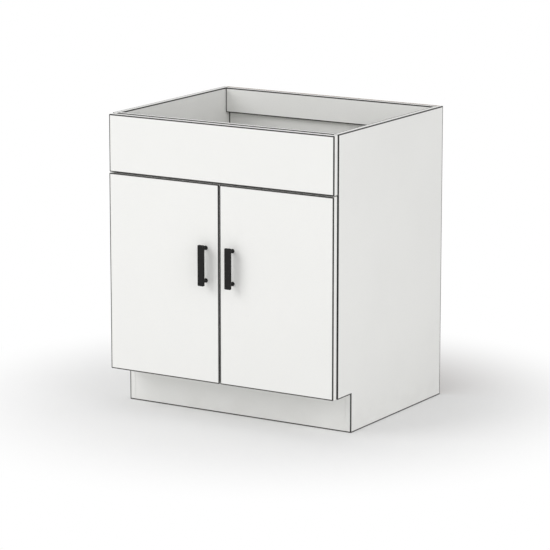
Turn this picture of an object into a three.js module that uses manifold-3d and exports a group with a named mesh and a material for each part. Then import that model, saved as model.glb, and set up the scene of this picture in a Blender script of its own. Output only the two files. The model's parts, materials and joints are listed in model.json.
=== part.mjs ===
// Sink base cabinet with an open top: two side panels, a bottom, a front rail on edge, a back rail, a back
// panel and a toe-kick board, with one fixed false front and two slab doors on concealed cup hinges.
// Millimetres, +Z up, front at -Y. The origin is the centre of the underside of the whole object.

import * as THREE from 'three';
import { mergeVertices } from 'three/addons/utils/BufferGeometryUtils.js';
import Module from 'manifold-3d';

const wasm = await Module();
wasm.setup();

// ---- Driving dimensions: cabinet box ----

const boxWidth = 762;
const boxHeight = 876.3;
const boxDepth = 609.6;
const panel = 19;
const kickHeight = 114.3;
const kickDepth = 76.2;
const backThickness = 6.4;
const rabbetWidth = 10;
const frontRailHeight = 192;
const backRailHeight = 76.2;
const boardEdge = 0.5;

// ---- Driving dimensions: fronts ----

const frontThickness = 22;
const frontEdge = 1.2;
const doorGap = 2;
const outerReveal = 1.5;
const frontGap = 3;
const falseFrontHeight = 170;

// ---- Driving dimensions: handles ----

const barHeight = 120;
const barWidth = 20;
const barThickness = 8;
const barEdge = 1.5;
const postSpacing = 96;
const postRadius = 5;
const handleProjection = 30;
const handleDrop = 176;
const handleInset = 44;
const handleScrewReach = 12;

// ---- Driving dimensions: joints of boards, screws and bumpers ----

const seat = 0.3;
const dowelRadius = 4;
const dowelLength = 10;
const dowelRoot = 1;
const dowelInset = 25;
const bumperRadius = 5;
const bumperTopRadius = 4;
const bumperDome = 0.2;
const bumperInset = 9;
const handleScrewRadius = 2;
const woodScrewRadius = 1.8;
const systemScrewRadius = 2.6;
const plateScrewDepth = 11;
const cupScrewDepth = 10;
const falseFrontScrewGrip = 13;
const falseFrontScrewInset = 95;
const falseFrontScrewSpacing = 85;
const screwHeadHeight = 1.7;
const screwHeadRadius = 4;
const screwTopRadius = 2.8;
const screwClearance = 0.3;
const overrun = 1;

// ---- Driving dimensions: hinges ----
// A hinge is drawn in its own frame: x runs from the side panel's inner face into the cabinet, y from
// the panel's front edge backwards, and z up from the hinge's middle.

const hingeInset = 100;
const openAngle = 100;
const cupRadius = 17.2;
const cupWall = 0.6;
const cupDepth = 12.9;
const cupFloor = 0.8;
const boreClearance = 0.3;
const cupEdgeDistance = 5;
const flangeThickness = 0.9;
const flangeRing = 2;
const flangeHalfLength = 29;
const flangeHalfWidth = 7;
const flangeCorner = 6;
const gateClearance = 1;
const cupScrewSpacing = 45;
const cupScrewOffset = 9.5;
const plateSetback = 37;
const plateScrewSpacing = 32;
const wingThickness = 2;
const wingHalfWidth = 8;
const wingHalfLength = 25;
const wingCorner = 5;
const ribHalfWidth = 4.9;
const ribFront = 20;
const ribBack = 70;
const armHalfWidth = 6.5;
const armWall = 1.2;
const armHeel = 4;
const armShoulder = 12;
const armWebSetback = 13;
const armRise = 10;
const armFrontReach = 21;
const armBackReach = 76;
const armScrewReaches = [39, 64];
const armScrewRadius = 3.4;
const armScrewHeight = 1.2;
const noseRadius = 2.6;
const noseCorner = 1.56;
const noseRise = 1;
const linkHalfThickness = 1.5;
const linkEye = 2.3;
const outerLinkHalfWidth = 5;
const innerLinkHalfWidth = 3;
const linkPlate = 1.2;
const linkWebSpan = [0.3, 0.8];
const linkWebHalfThickness = 0.9;
const pinRadius = 1.05;
const pinClearance = 0.3;
const pinSink = 0.1;
const pinWaySteps = 9;
const openEye = 3;

// The links' pivots and knees with the door closed, from the middle of the cup's mouth: across into the
// cabinet, and backwards from the door. While the door opens by openAngle, the outer link turns by
// outerLinkTurn and the inner link by innerLinkTurn, both the other way.
const outerArmReach = [14.89, 16.496];
const outerCupReach = [-11.063, -4.635];
const outerKneeReach = [-3.027, -6.049];
const innerArmReach = [20.897, 5.628];
const innerCupReach = [-8.217, -8.199];
const innerKneeReach = [-1.108, -10.011];
const outerLinkTurn = 31;
const innerLinkTurn = 23.64;

// ---- Sides of the round facets ----

const cupSides = 28;
const postSides = 14;
const dowelSides = 10;
const holeSides = 8;
const eyeSides = 12;

// ---- Places worked out from the sizes above ----

const totalDepth = boxDepth + doorGap + frontThickness + seat + handleProjection;
const boxBack = totalDepth / 2;
const boxFront = boxBack - boxDepth;
const doorBack = boxFront - doorGap;
const innerHalfWidth = boxWidth / 2 - panel;
const boardHalfLength = innerHalfWidth - seat;
const backPanelFront = boxBack - backThickness;
const railBack = backPanelFront - seat;
const doorWidth = (boxWidth - 2 * outerReveal - frontGap) / 2;
const doorTop = boxHeight - outerReveal - falseFrontHeight - frontGap;
const doorBottom = kickHeight + outerReveal;
const doorHeight = doorTop - doorBottom;
const doorCentre = frontGap / 2 + doorWidth / 2;
const handleX = frontGap / 2 + handleInset;
const handleZ = doorTop - handleDrop - barHeight / 2;
const hingeHeights = { lower: doorBottom + hingeInset, upper: doorTop - hingeInset };
const cupX = outerReveal - panel + cupEdgeDistance + cupRadius + boreClearance;
const falseFrontZ = boxHeight - outerReveal - falseFrontHeight / 2;
const fromCupMouth = ([across, behind]) => [cupX + across, behind - doorGap];
const outerArmPivot = fromCupMouth(outerArmReach);
const outerCupPivot = fromCupMouth(outerCupReach);
const outerKnee = fromCupMouth(outerKneeReach);
const innerArmPivot = fromCupMouth(innerArmReach);
const innerCupPivot = fromCupMouth(innerCupReach);
const innerKnee = fromCupMouth(innerKneeReach);
const armHeight = cupX + armRise;
const armFront = armFrontReach - doorGap;
const armBack = armBackReach - doorGap;
const armScrewPlaces = armScrewReaches.map((reach) => reach - doorGap);

// ---- Materials ----

const finish = (color, roughness, metalness) =>
  new THREE.MeshStandardMaterial({ color, roughness, metalness });
const carcassWhite = finish(0xe9e8e4, 0.55, 0);
const frontWhite = finish(0xf2f1ee, 0.4, 0);
const hardboard = finish(0xdedbd4, 0.7, 0);
const blackMetal = finish(0x151515, 0.45, 0.6);
const nickel = finish(0xb9b7b2, 0.3, 1);
const zinc = finish(0xa9a9a6, 0.4, 1);
const clearRubber = finish(0xd8d8d6, 0.6, 0);

// ---- Solids ----

// A closed three.js geometry as a manifold solid with its faces pointing out.
function toSolid(geometry) {
  const bare = new THREE.BufferGeometry();
  const loose = geometry.index ? geometry.toNonIndexed() : geometry;
  bare.setAttribute('position', loose.getAttribute('position'));
  const merged = mergeVertices(bare, 1e-4);
  const vertProperties = new Float32Array(merged.attributes.position.array);
  const triVerts = new Uint32Array(merged.index.array);
  const solid = new wasm.Manifold(new wasm.Mesh({ numProp: 3, vertProperties, triVerts }));
  if (solid.volume() > 0) return solid;
  const reversed = triVerts.map((_, i) => triVerts[i + 2 - 2 * (i % 3)]);
  return new wasm.Manifold(new wasm.Mesh({ numProp: 3, vertProperties, triVerts: reversed }));
}

// A manifold solid as a flat-shaded three.js geometry.
function toGeometry(solid) {
  const { vertProperties, triVerts } = solid.getMesh();
  const shared = new THREE.BufferGeometry();
  shared.setAttribute('position', new THREE.BufferAttribute(vertProperties, 3));
  shared.setIndex(new THREE.BufferAttribute(triVerts, 1));
  const flat = shared.toNonIndexed();
  flat.computeVertexNormals();
  return flat;
}

const joined = (solids) => solids.reduce((whole, next) => whole.add(next));
const cut = (solid, tools) => tools.reduce((rest, tool) => rest.subtract(tool), solid);

// A box between its lowest and highest corners.
function block(low, high) {
  const size = high.map((value, i) => value - low[i]);
  const geometry = new THREE.BoxGeometry(...size);
  geometry.translate(...low.map((value, i) => value + size[i] / 2));
  return toSolid(geometry);
}

// Turns a geometry drawn along +Y so that it runs along another axis, and moves it to its start.
function aim(geometry, axis, start) {
  if (axis === 'x') geometry.rotateZ(-Math.PI / 2);
  if (axis === 'z') geometry.rotateX(Math.PI / 2);
  if (axis === '-y') geometry.rotateX(Math.PI);
  if (axis === '-x') geometry.rotateZ(Math.PI / 2);
  return geometry.translate(...start);
}

// A round bar along an axis from a start point.
function rod(axis, radius, start, length, sides = holeSides) {
  const geometry = new THREE.CylinderGeometry(radius, radius, length, sides);
  geometry.translate(0, length / 2, 0);
  return toSolid(aim(geometry, axis, start));
}

// A turned solid: its profile holds pairs of radius and distance along the axis.
function turned(profile, axis, start, sides) {
  const points = profile.map(([radius, along]) => new THREE.Vector2(radius, along));
  return toSolid(aim(new THREE.LatheGeometry(points, sides), axis, start));
}

// An outline with its points in order as a flat shape.
const outline = (points) => new THREE.Shape(points.map(([x, y]) => new THREE.Vector2(x, y)));

const rectangle = (x0, x1, y0, y1) => outline([[x0, y0], [x1, y0], [x1, y1], [x0, y1]]);

// A board with eased edges, cut from a flat shape and lying between 0 and its thickness in z.
function boardGeometry(shape, thickness, edge) {
  const geometry = new THREE.ExtrudeGeometry(shape, {
    depth: thickness - 2 * edge,
    bevelThickness: edge,
    bevelSize: edge,
    bevelOffset: -edge,
    bevelSegments: edge > 1 ? 2 : 1,
  });
  return geometry.translate(0, 0, edge);
}

// A board whose shape is in x and z, from y = 0 forwards by its thickness.
const uprightBoard = (shape, thickness, edge) =>
  toSolid(boardGeometry(shape, thickness, edge).rotateX(Math.PI / 2));

// A board whose shape is in x and y, from z = 0 upwards by its thickness.
const flatBoard = (shape, thickness, edge) => toSolid(boardGeometry(shape, thickness, edge));

// A board whose shape is in y and z, from x = 0 to the right by its thickness.
function sideBoard(shape, thickness, edge) {
  const turn = new THREE.Matrix4().makeBasis(
    new THREE.Vector3(0, 1, 0),
    new THREE.Vector3(0, 0, 1),
    new THREE.Vector3(1, 0, 0),
  );
  return toSolid(boardGeometry(shape, thickness, edge).applyMatrix4(turn));
}

// A flat shape of x and y, from z0 to z1.
function prism(shape, z0, z1, curveSegments = 4) {
  const options = { depth: z1 - z0, bevelEnabled: false, curveSegments };
  return toSolid(new THREE.ExtrudeGeometry(shape, options).translate(0, 0, z0));
}

// The outline of a bar of even width along a row of points in x and y, with mitred corners.
function bentBar(points, halfWidth) {
  const way = points.map(([x, y]) => new THREE.Vector2(x, y));
  const sideways = way.map((point, i) => {
    const before = point.clone().sub(way[Math.max(i - 1, 0)]).normalize();
    const after = way[Math.min(i + 1, way.length - 1)].clone().sub(point).normalize();
    const along = before.add(after).normalize();
    const square = i === 0 || i === way.length - 1 ? 1 : Math.abs(along.dot(after));
    return new THREE.Vector2(-along.y, along.x).multiplyScalar(halfWidth / square);
  });
  const left = way.map((point, i) => point.clone().add(sideways[i]));
  const right = way.map((point, i) => point.clone().sub(sideways[i])).reverse();
  return new THREE.Shape([...left, ...right]);
}

// A pan-head screw along an axis: its shank runs forwards from the origin and its head stands behind it.
function screw(axis, shankRadius, shankLength) {
  const profile = [
    [0, -screwHeadHeight],
    [screwTopRadius, -screwHeadHeight],
    [screwHeadRadius, 0],
    [shankRadius, 0],
    [shankRadius, shankLength],
    [0, shankLength],
  ];
  return turned(profile, axis, [0, 0, 0], holeSides);
}

// ---- The part's scene graph ----

const cabinet = new THREE.Group();

function place(parent, name, solid, material, position = [0, 0, 0]) {
  const mesh = new THREE.Mesh(toGeometry(solid), material);
  mesh.name = name;
  mesh.position.set(...position);
  parent.add(mesh);
}

// ---- Dowels: places along y and z where a board's ends meet the side panels ----

const spread = (from, to, count) =>
  Array.from({ length: count }, (_, i) => from + ((to - from) * i) / (count - 1));

const frontRailY = boxFront + panel / 2;
const backRailY = railBack - panel / 2;
const kickY = boxFront + kickDepth + panel / 2;
const bottomDowels = spread(boxFront + dowelInset, railBack - dowelInset, 4)
  .map((y) => [y, kickHeight + panel / 2]);
const frontRailDowels = spread(boxHeight - dowelInset, boxHeight - frontRailHeight + dowelInset, 3)
  .map((z) => [frontRailY, z]);
const backRailDowels = spread(boxHeight - dowelInset, boxHeight - backRailHeight + dowelInset, 2)
  .map((z) => [backRailY, z]);
const kickDowels = spread(dowelInset, kickHeight - seat - dowelInset, 2).map((z) => [kickY, z]);

// Adds the dowels that stick out of both ends of a board.
function withDowels(board, places) {
  const root = boardHalfLength - dowelRoot;
  const length = dowelLength + dowelRoot;
  const left = places.map(([y, z]) => rod('-x', dowelRadius, [-root, y, z], length, dowelSides));
  const right = places.map(([y, z]) => rod('x', dowelRadius, [root, y, z], length, dowelSides));
  return joined([board, ...left, ...right]);
}

// ---- Carcass ----

// A side panel with the toe notch at its front bottom corner. Its inner face has the rabbet for the back
// panel, the blind dowel holes and the pilot holes of the hinge plates.
function sidePanel(side) {
  const profile = outline([
    [boxFront + kickDepth, 0],
    [boxBack, 0],
    [boxBack, boxHeight],
    [boxFront, boxHeight],
    [boxFront, kickHeight],
    [boxFront + kickDepth, kickHeight],
  ]);
  const outer = (side * boxWidth) / 2;
  const inner = side * innerHalfWidth;
  const low = Math.min(outer, inner);
  const intoPanel = side > 0 ? 'x' : '-x';
  const mouth = inner - side * seat;
  const dowels = [...bottomDowels, ...frontRailDowels, ...backRailDowels, ...kickDowels];
  const holes = dowels.map(([y, z]) =>
    rod(intoPanel, dowelRadius + seat, [mouth, y, z], dowelLength + 2 * seat, dowelSides));
  const pilots = Object.values(hingeHeights).flatMap((z) => [-1, 1].map((end) =>
    rod(intoPanel, systemScrewRadius + screwClearance,
      [mouth, boxFront + plateSetback, z + (end * plateScrewSpacing) / 2], plateScrewDepth + 2 * seat)));
  const rabbetOuter = inner + side * rabbetWidth;
  const rabbet = block(
    [Math.min(mouth, rabbetOuter), backPanelFront - seat, kickHeight - seat],
    [Math.max(mouth, rabbetOuter), boxBack + seat, boxHeight + seat],
  );
  const board = sideBoard(profile, panel, boardEdge).translate([low, 0, 0]);
  return cut(board, [...holes, ...pilots, rabbet]);
}

place(cabinet, 'left_side_panel', sidePanel(-1), carcassWhite);
place(cabinet, 'right_side_panel', sidePanel(1), carcassWhite);

const bottom = flatBoard(
  rectangle(-boardHalfLength, boardHalfLength, boxFront, railBack), panel, boardEdge,
).translate([0, 0, kickHeight]);
place(cabinet, 'bottom_panel', withDowels(bottom, bottomDowels), carcassWhite);

// The rail behind the false front, with clearance holes for the screws that hold it.
const falseFrontScrews = [-1, 1].flatMap((side) => [-1, 1].map((end) => ({
  name: `false_front_screw_${side < 0 ? 'left' : 'right'}_${end < 0 ? 'lower' : 'upper'}`,
  x: side * (boxWidth / 2 - falseFrontScrewInset),
  z: falseFrontZ + (end * falseFrontScrewSpacing) / 2,
})));
const frontRail = uprightBoard(
  rectangle(-boardHalfLength, boardHalfLength, boxHeight - frontRailHeight, boxHeight), panel, boardEdge,
).translate([0, boxFront + panel, 0]);
const railHoles = falseFrontScrews.map(({ x, z }) =>
  rod('y', woodScrewRadius + screwClearance, [x, boxFront - overrun, z], panel + 2 * overrun));
place(cabinet, 'front_rail', cut(withDowels(frontRail, frontRailDowels), railHoles), carcassWhite);

const backRail = uprightBoard(
  rectangle(-boardHalfLength, boardHalfLength, boxHeight - backRailHeight, boxHeight), panel, boardEdge,
).translate([0, railBack, 0]);
place(cabinet, 'back_rail', withDowels(backRail, backRailDowels), carcassWhite);

const kick = uprightBoard(
  rectangle(-boardHalfLength, boardHalfLength, 0, kickHeight - seat), panel, boardEdge,
).translate([0, kickY + panel / 2, 0]);
place(cabinet, 'toe_kick', withDowels(kick, kickDowels), carcassWhite);

const backHalfWidth = innerHalfWidth + rabbetWidth - seat;
const backPanel = uprightBoard(
  rectangle(-backHalfWidth, backHalfWidth, kickHeight, boxHeight), backThickness, boardEdge / 2,
);
place(cabinet, 'back_panel', backPanel, hardboard, [0, boxBack, 0]);

// ---- False front and its screws ----

const falseFrontHalfWidth = boxWidth / 2 - outerReveal;
const falseFrontBack = boxFront - seat;
const falseFrontPilots = falseFrontScrews.map(({ x, z }) =>
  rod('-y', woodScrewRadius + screwClearance, [x, seat, z - falseFrontZ], falseFrontScrewGrip + 2 * seat));
const falseFront = cut(uprightBoard(
  rectangle(-falseFrontHalfWidth, falseFrontHalfWidth, -falseFrontHeight / 2, falseFrontHeight / 2),
  frontThickness, frontEdge,
), falseFrontPilots);
place(cabinet, 'false_front', falseFront, frontWhite, [0, falseFrontBack, falseFrontZ]);
const falseFrontScrewLength = panel + 2 * seat + falseFrontScrewGrip;
falseFrontScrews.forEach(({ name, x, z }) => {
  const solid = screw('-y', woodScrewRadius, falseFrontScrewLength);
  place(cabinet, name, solid, zinc, [x, boxFront + panel + seat, z]);
});

// ---- Doors and handles ----

// A slab door in its own frame: its centre is at x = z = 0, its back face at y = 0, and its outer edge is
// on the given side. The back has two cup bores with screw pilots, and two handle screw holes go through.
function door(side) {
  const slab = uprightBoard(
    rectangle(-doorWidth / 2, doorWidth / 2, -doorHeight / 2, doorHeight / 2), frontThickness, frontEdge);
  const middle = doorBottom + doorHeight / 2;
  const boreX = side * (innerHalfWidth - cupX - doorCentre);
  const pilotX = boreX - side * cupScrewOffset;
  const boreDepth = cupDepth + 2 * boreClearance;
  const cups = Object.values(hingeHeights).flatMap((z) => [
    rod('-y', cupRadius + boreClearance, [boreX, boreClearance, z - middle], boreDepth, cupSides),
    ...[-1, 1].map((end) => rod('-y', woodScrewRadius + screwClearance,
      [pilotX, boreClearance, z - middle + (end * cupScrewSpacing) / 2],
      cupScrewDepth + 2 * boreClearance)),
  ]);
  const holeX = -side * (doorCentre - handleX);
  const handleHoles = [-1, 1].map((end) => rod('-y', handleScrewRadius + screwClearance,
    [holeX, overrun, handleZ - middle + (end * postSpacing) / 2], frontThickness + 2 * overrun));
  return cut(slab, [...cups, ...handleHoles]);
}

// A flat bar on two round posts, with a blind screw hole up each post. The posts stand on y = 0.
function handle() {
  const bar = uprightBoard(
    rectangle(-barWidth / 2, barWidth / 2, -barHeight / 2, barHeight / 2), barThickness, barEdge,
  ).translate([0, barThickness - handleProjection, 0]);
  const posts = [-1, 1].map((end) =>
    rod('-y', postRadius, [0, 0, (end * postSpacing) / 2], handleProjection - barThickness / 2, postSides));
  const holes = [-1, 1].map((end) => rod('-y', handleScrewRadius + screwClearance,
    [0, overrun, (end * postSpacing) / 2], handleProjection - barThickness));
  return cut(joined([bar, ...posts]), holes);
}

// A soft bumper: a low disc with a slightly domed top, from the door's back towards the box.
function bumper() {
  const height = doorGap - 2 * seat;
  const profile = [
    [0, 0],
    [bumperRadius, 0],
    [bumperTopRadius, height - bumperDome],
    [0, height],
  ];
  return turned(profile, 'y', [0, 0, 0], postSides);
}

for (const [label, side] of [['left', -1], ['right', 1]]) {
  const doorGroup = new THREE.Group();
  doorGroup.position.set(side * doorCentre, doorBack, doorBottom + doorHeight / 2);
  cabinet.add(doorGroup);
  place(doorGroup, `${label}_door`, door(side), frontWhite);
  const x = -side * (doorCentre - handleX);
  const z = handleZ - doorBottom - doorHeight / 2;
  place(doorGroup, `${label}_handle`, handle(), blackMetal, [x, -frontThickness - seat, z]);
  for (const [height, end] of [['lower', -1], ['upper', 1]]) {
    const reach = frontThickness + 2 * seat + handleScrewReach;
    const screwZ = z + (end * postSpacing) / 2;
    const handleScrew = screw('-y', handleScrewRadius, reach);
    place(doorGroup, `${label}_handle_screw_${height}`, handleScrew, zinc, [x, seat, screwZ]);
    const bumperX = -side * (doorWidth / 2 - bumperInset - bumperRadius);
    const bumperZ = end * (doorHeight / 2 - bumperInset);
    place(doorGroup, `${label}_bumper_${height}`, bumper(), clearRubber, [bumperX, seat / 2, bumperZ]);
  }
}

// ---- Hinges ----

// The cup: a turned bucket with a flange behind the door's back and two pins across it. The flange is
// open on the panel's side, where the links come out.
function hingeCup() {
  const flangeFront = seat - doorGap;
  const flangeBack = flangeFront + flangeThickness;
  const underside = -doorGap - cupDepth;
  const bucket = turned([
    [0, underside],
    [cupRadius, underside],
    [cupRadius, flangeFront],
    [cupRadius + flangeRing, flangeFront],
    [cupRadius + flangeRing, flangeBack],
    [cupRadius - cupWall, flangeBack],
    [cupRadius - cupWall, underside + cupFloor],
    [0, underside + cupFloor],
  ], 'y', [cupX, 0, 0], cupSides);
  const wing = prism(roundedBar(flangeHalfWidth, flangeHalfLength, flangeCorner), 0, flangeThickness)
    .rotate([90, 0, 0]).translate([cupX + cupScrewOffset, flangeBack, 0]);
  const above = flangeBack + overrun;
  const through = flangeThickness + 2 * overrun;
  const well = rod('-y', cupRadius - cupWall / 2, [cupX, above, 0], through, cupSides);
  const linkGateHalf = armHalfWidth + gateClearance;
  const linkGate = block(
    [cupX - cupRadius - 2 * flangeRing, -doorGap - seat, -linkGateHalf],
    [cupX - cupRadius + 2 * flangeRing, above, linkGateHalf]);
  const innerGateHalf = innerLinkHalfWidth + gateClearance;
  const innerGate = block(
    [cupX + cupRadius - flangeRing, flangeFront - flangeRing, -innerGateHalf],
    [cupX + cupRadius + 2 * flangeRing, above, innerGateHalf]);
  const screwHoles = [-1, 1].map((end) => rod('-y', woodScrewRadius + screwClearance,
    [cupX + cupScrewOffset, above, (end * cupScrewSpacing) / 2], through));
  const pins = [outerCupPivot, innerCupPivot].map(([x, y]) => {
    const reach = Math.sqrt((cupRadius - pinSink) ** 2 - (cupX - x + pinRadius) ** 2);
    return rod('z', pinRadius, [x, y, -reach], 2 * reach);
  });
  const shell = cut(joined([bucket, wing.subtract(well)]), [linkGate, innerGate, ...screwHoles]);
  return joined([shell, ...pins]);
}

// A bar shape with rounded corners, standing along y.
function roundedBar(halfWidth, halfLength, corner) {
  const shape = new THREE.Shape();
  shape.absarc(halfWidth - corner, halfLength - corner, corner, 0, Math.PI / 2, false);
  shape.absarc(corner - halfWidth, halfLength - corner, corner, Math.PI / 2, Math.PI, false);
  shape.absarc(corner - halfWidth, corner - halfLength, corner, Math.PI, Math.PI * 1.5, false);
  shape.absarc(halfWidth - corner, corner - halfLength, corner, Math.PI * 1.5, Math.PI * 2, false);
  return shape;
}

// A point in x and y turned about a centre.
function turnAbout([x, y], [cx, cy], degrees) {
  const angle = THREE.MathUtils.degToRad(degrees);
  const [dx, dy] = [x - cx, y - cy];
  return [
    cx + dx * Math.cos(angle) - dy * Math.sin(angle),
    cy + dx * Math.sin(angle) + dy * Math.cos(angle),
  ];
}

// The way of a pin of the cup past the inner link while the door opens, in the link's own frame.
function pinWay(pivot) {
  return spread(0, 1, pinWaySteps).map((share) => {
    const carried = turnAbout(outerCupPivot, outerArmPivot, share * outerLinkTurn);
    const onDoor = turnAbout(pivot, outerCupPivot, -share * openAngle);
    const moved = onDoor.map((value, i) => value + carried[i] - outerCupPivot[i]);
    return turnAbout(moved, innerArmPivot, -share * innerLinkTurn);
  });
}

// The outer link: two side plates joined by a web, with holes for the arm's pin and the cup's pin.
function outerLink() {
  const plates = [-outerLinkHalfWidth, outerLinkHalfWidth - linkPlate].flatMap((z0) => [
    prism(bentBar([outerCupPivot, outerKnee, outerArmPivot], linkHalfThickness), z0, z0 + linkPlate),
    rod('z', linkEye, [...outerCupPivot, z0], linkPlate, eyeSides),
    rod('z', linkEye, [...outerArmPivot, z0], linkPlate, eyeSides),
  ]);
  const along = (share) => outerKnee.map((value, i) => value + (outerArmPivot[i] - value) * share);
  const webHalfWidth = outerLinkHalfWidth - linkPlate / 2;
  const web = prism(
    bentBar(linkWebSpan.map(along), linkWebHalfThickness), -webHalfWidth, webHalfWidth);
  const holes = [outerArmPivot, outerCupPivot].map(([x, y]) =>
    rod('z', pinRadius + pinClearance, [x, y, -armHalfWidth], 2 * armHalfWidth));
  return cut(joined([...plates, web]), holes);
}

// The inner link: one bar between the outer link's plates. Its cup end is an open eye, cleared along the
// cup pin's whole way.
function innerLink() {
  const z0 = -innerLinkHalfWidth;
  const z1 = innerLinkHalfWidth;
  const bar = joined([
    prism(bentBar([innerCupPivot, innerKnee, innerArmPivot], linkHalfThickness), z0, z1),
    rod('z', openEye, [...innerCupPivot, z0], z1 - z0, eyeSides),
    rod('z', linkEye, [...innerArmPivot, z0], z1 - z0, eyeSides),
  ]);
  const pinPlaces = [innerArmPivot, ...pinWay(innerCupPivot), ...pinWay(outerCupPivot)];
  const holes = pinPlaces.map(([x, y]) =>
    rod('z', pinRadius + pinClearance, [x, y, z0 - overrun], z1 - z0 + 2 * overrun));
  return cut(bar, holes);
}

// The arm: a channel over the plate's rib that narrows to a nose with the two arm pins.
function hingeArm() {
  const under = wingThickness + 3 * seat;
  const side = outline([
    [under, armBack],
    [under, armFront + armHeel],
    [outerArmPivot[0] - noseRadius, outerArmPivot[1] - noseRadius],
    [innerArmPivot[0] - noseRadius, innerArmPivot[1] - noseRadius],
    [innerArmPivot[0] + noseCorner, innerArmPivot[1] - noseRadius],
    [innerArmPivot[0] + noseRadius, innerArmPivot[1] + noseCorner],
    [outerArmPivot[0] + noseRadius + noseRise, outerArmPivot[1] + noseRadius],
    [armHeight, armFront + armShoulder],
    [armHeight, armBack],
  ]);
  const walls = [-armHalfWidth, armHalfWidth - armWall].map((z0) => prism(side, z0, z0 + armWall));
  const inset = armWall / 2;
  const web = block(
    [armHeight - armWall, armFront + armWebSetback, inset - armHalfWidth],
    [armHeight, armBack, armHalfWidth - inset]);
  const pins = [outerArmPivot, innerArmPivot].map(([x, y]) =>
    rod('z', pinRadius, [x, y, inset - armHalfWidth], 2 * (armHalfWidth - inset)));
  const heads = armScrewPlaces.map((y) =>
    rod('x', armScrewRadius, [armHeight - armWall / 2, y, 0], armScrewHeight + armWall / 2, eyeSides));
  return joined([...walls, web, ...pins, ...heads]);
}

// The mounting plate: two wings with the screws and a rib that fills the arm's channel.
function mountingPlate() {
  const wing = prism(roundedBar(wingHalfWidth, wingHalfLength, wingCorner), 0, wingThickness)
    .rotate([90, 0, 0]).rotate([0, 0, 90]).translate([seat, plateSetback, 0]);
  const rib = block(
    [seat, ribFront + seat, -ribHalfWidth], [armHeight - armWall - seat, ribBack, ribHalfWidth]);
  const holes = [-1, 1].map((end) => rod('x', systemScrewRadius + screwClearance,
    [seat - overrun, plateSetback, (end * plateScrewSpacing) / 2], wingThickness + 2 * overrun));
  return cut(joined([wing, rib]), holes);
}

for (const [label, side] of [['left', -1], ['right', 1]]) {
  for (const [height, z] of Object.entries(hingeHeights)) {
    const hinge = new THREE.Group();
    hinge.position.set(side * innerHalfWidth, boxFront, z);
    hinge.rotation.y = side > 0 ? Math.PI : 0;
    cabinet.add(hinge);
    const name = `${label}_${height}_hinge`;
    place(hinge, `${name}_cup`, hingeCup(), nickel);
    place(hinge, `${name}_arm`, hingeArm(), nickel);
    place(hinge, `${name}_plate`, mountingPlate(), nickel);
    place(hinge, `${name}_outer_link`, outerLink(), nickel);
    place(hinge, `${name}_inner_link`, innerLink(), nickel);
    for (const [letter, end] of [['a', -1], ['b', 1]]) {
      const cupScrew = screw('-y', woodScrewRadius, cupScrewDepth + flangeThickness);
      const cupScrewY = flangeThickness - doorGap + 2 * seat;
      place(hinge, `${name}_cup_screw_${letter}`, cupScrew, zinc,
        [cupX + cupScrewOffset, cupScrewY, (end * cupScrewSpacing) / 2]);
      const plateScrew = screw('-x', systemScrewRadius, plateScrewDepth + wingThickness);
      place(hinge, `${name}_plate_screw_${letter}`, plateScrew, zinc,
        [wingThickness + 2 * seat, plateSetback, (end * plateScrewSpacing) / 2]);
    }
  }
}

export default cabinet;
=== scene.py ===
"""Sink base cabinet: the finishes of its boards, and the fine pieces of its fronts, handles and hinges.

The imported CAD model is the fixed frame. The boards of the box and the inner links of the hinges keep their
CAD shape and get a finish. The fronts, handles, other hinge parts, screws and bumpers get finer pieces in
the same places. All sizes here are in metres, +Z is up and the front faces -Y.
"""

import json
import math

import bmesh
import bpy
import numpy as np
from bpy.props import FloatProperty, FloatVectorProperty, IntProperty, PointerProperty
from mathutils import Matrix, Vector
from mathutils.geometry import tessellate_polygon


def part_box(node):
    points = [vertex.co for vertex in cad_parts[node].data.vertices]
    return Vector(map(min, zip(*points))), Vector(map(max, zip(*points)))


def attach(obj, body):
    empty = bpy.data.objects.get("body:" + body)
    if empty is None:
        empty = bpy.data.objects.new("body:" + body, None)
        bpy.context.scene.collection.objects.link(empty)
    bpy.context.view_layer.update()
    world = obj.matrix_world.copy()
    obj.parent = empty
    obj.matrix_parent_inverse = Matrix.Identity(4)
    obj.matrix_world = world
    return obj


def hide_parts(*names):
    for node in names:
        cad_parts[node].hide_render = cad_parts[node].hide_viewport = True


bl_info = {
    "name": "Sink base cabinet",
    "version": (1, 0, 0),
    "blender": (4, 5, 0),
    "location": "3D View > Sidebar > Cabinet",
    "description": "Finishes and fine pieces of a sink base cabinet",
    "category": "Object",
}

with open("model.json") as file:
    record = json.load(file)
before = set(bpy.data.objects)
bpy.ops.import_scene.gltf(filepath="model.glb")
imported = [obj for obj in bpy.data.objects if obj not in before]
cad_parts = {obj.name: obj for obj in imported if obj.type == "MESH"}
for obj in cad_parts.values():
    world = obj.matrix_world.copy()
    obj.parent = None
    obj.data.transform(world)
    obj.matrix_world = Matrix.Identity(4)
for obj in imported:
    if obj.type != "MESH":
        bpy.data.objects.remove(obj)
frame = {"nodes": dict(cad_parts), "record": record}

MM = 0.001
RECORD_COLOURS = {entry["slot"]: tuple(entry["base_color"]) for entry in frame["record"]["materials"]}

# ---- Places measured on the frame ----


def corners(node):
    """Lowest and highest corner of a CAD node as arrays."""
    low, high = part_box(node)
    return np.array(low), np.array(high)


def middle(node):
    """Middle of a CAD node's box."""
    low, high = corners(node)
    return (low + high) / 2


SIDES = {"left": -1, "right": 1}
ENDS = {"lower": -1, "upper": 1}
INNER_HALF_WIDTH = float(corners("right_side_panel")[0][0])
BOX_FRONT = corners("right_side_panel")[0][1]
KICK_FRONT = corners("toe_kick")[0][1]
KICK_HEIGHT = corners("bottom_panel")[0][2]
HANDLE_HEIGHT = float(middle("left_handle")[2])
HANDLE_ACROSS = float(middle("right_handle")[0])

# ---- Fineness of the meshes ----

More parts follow.
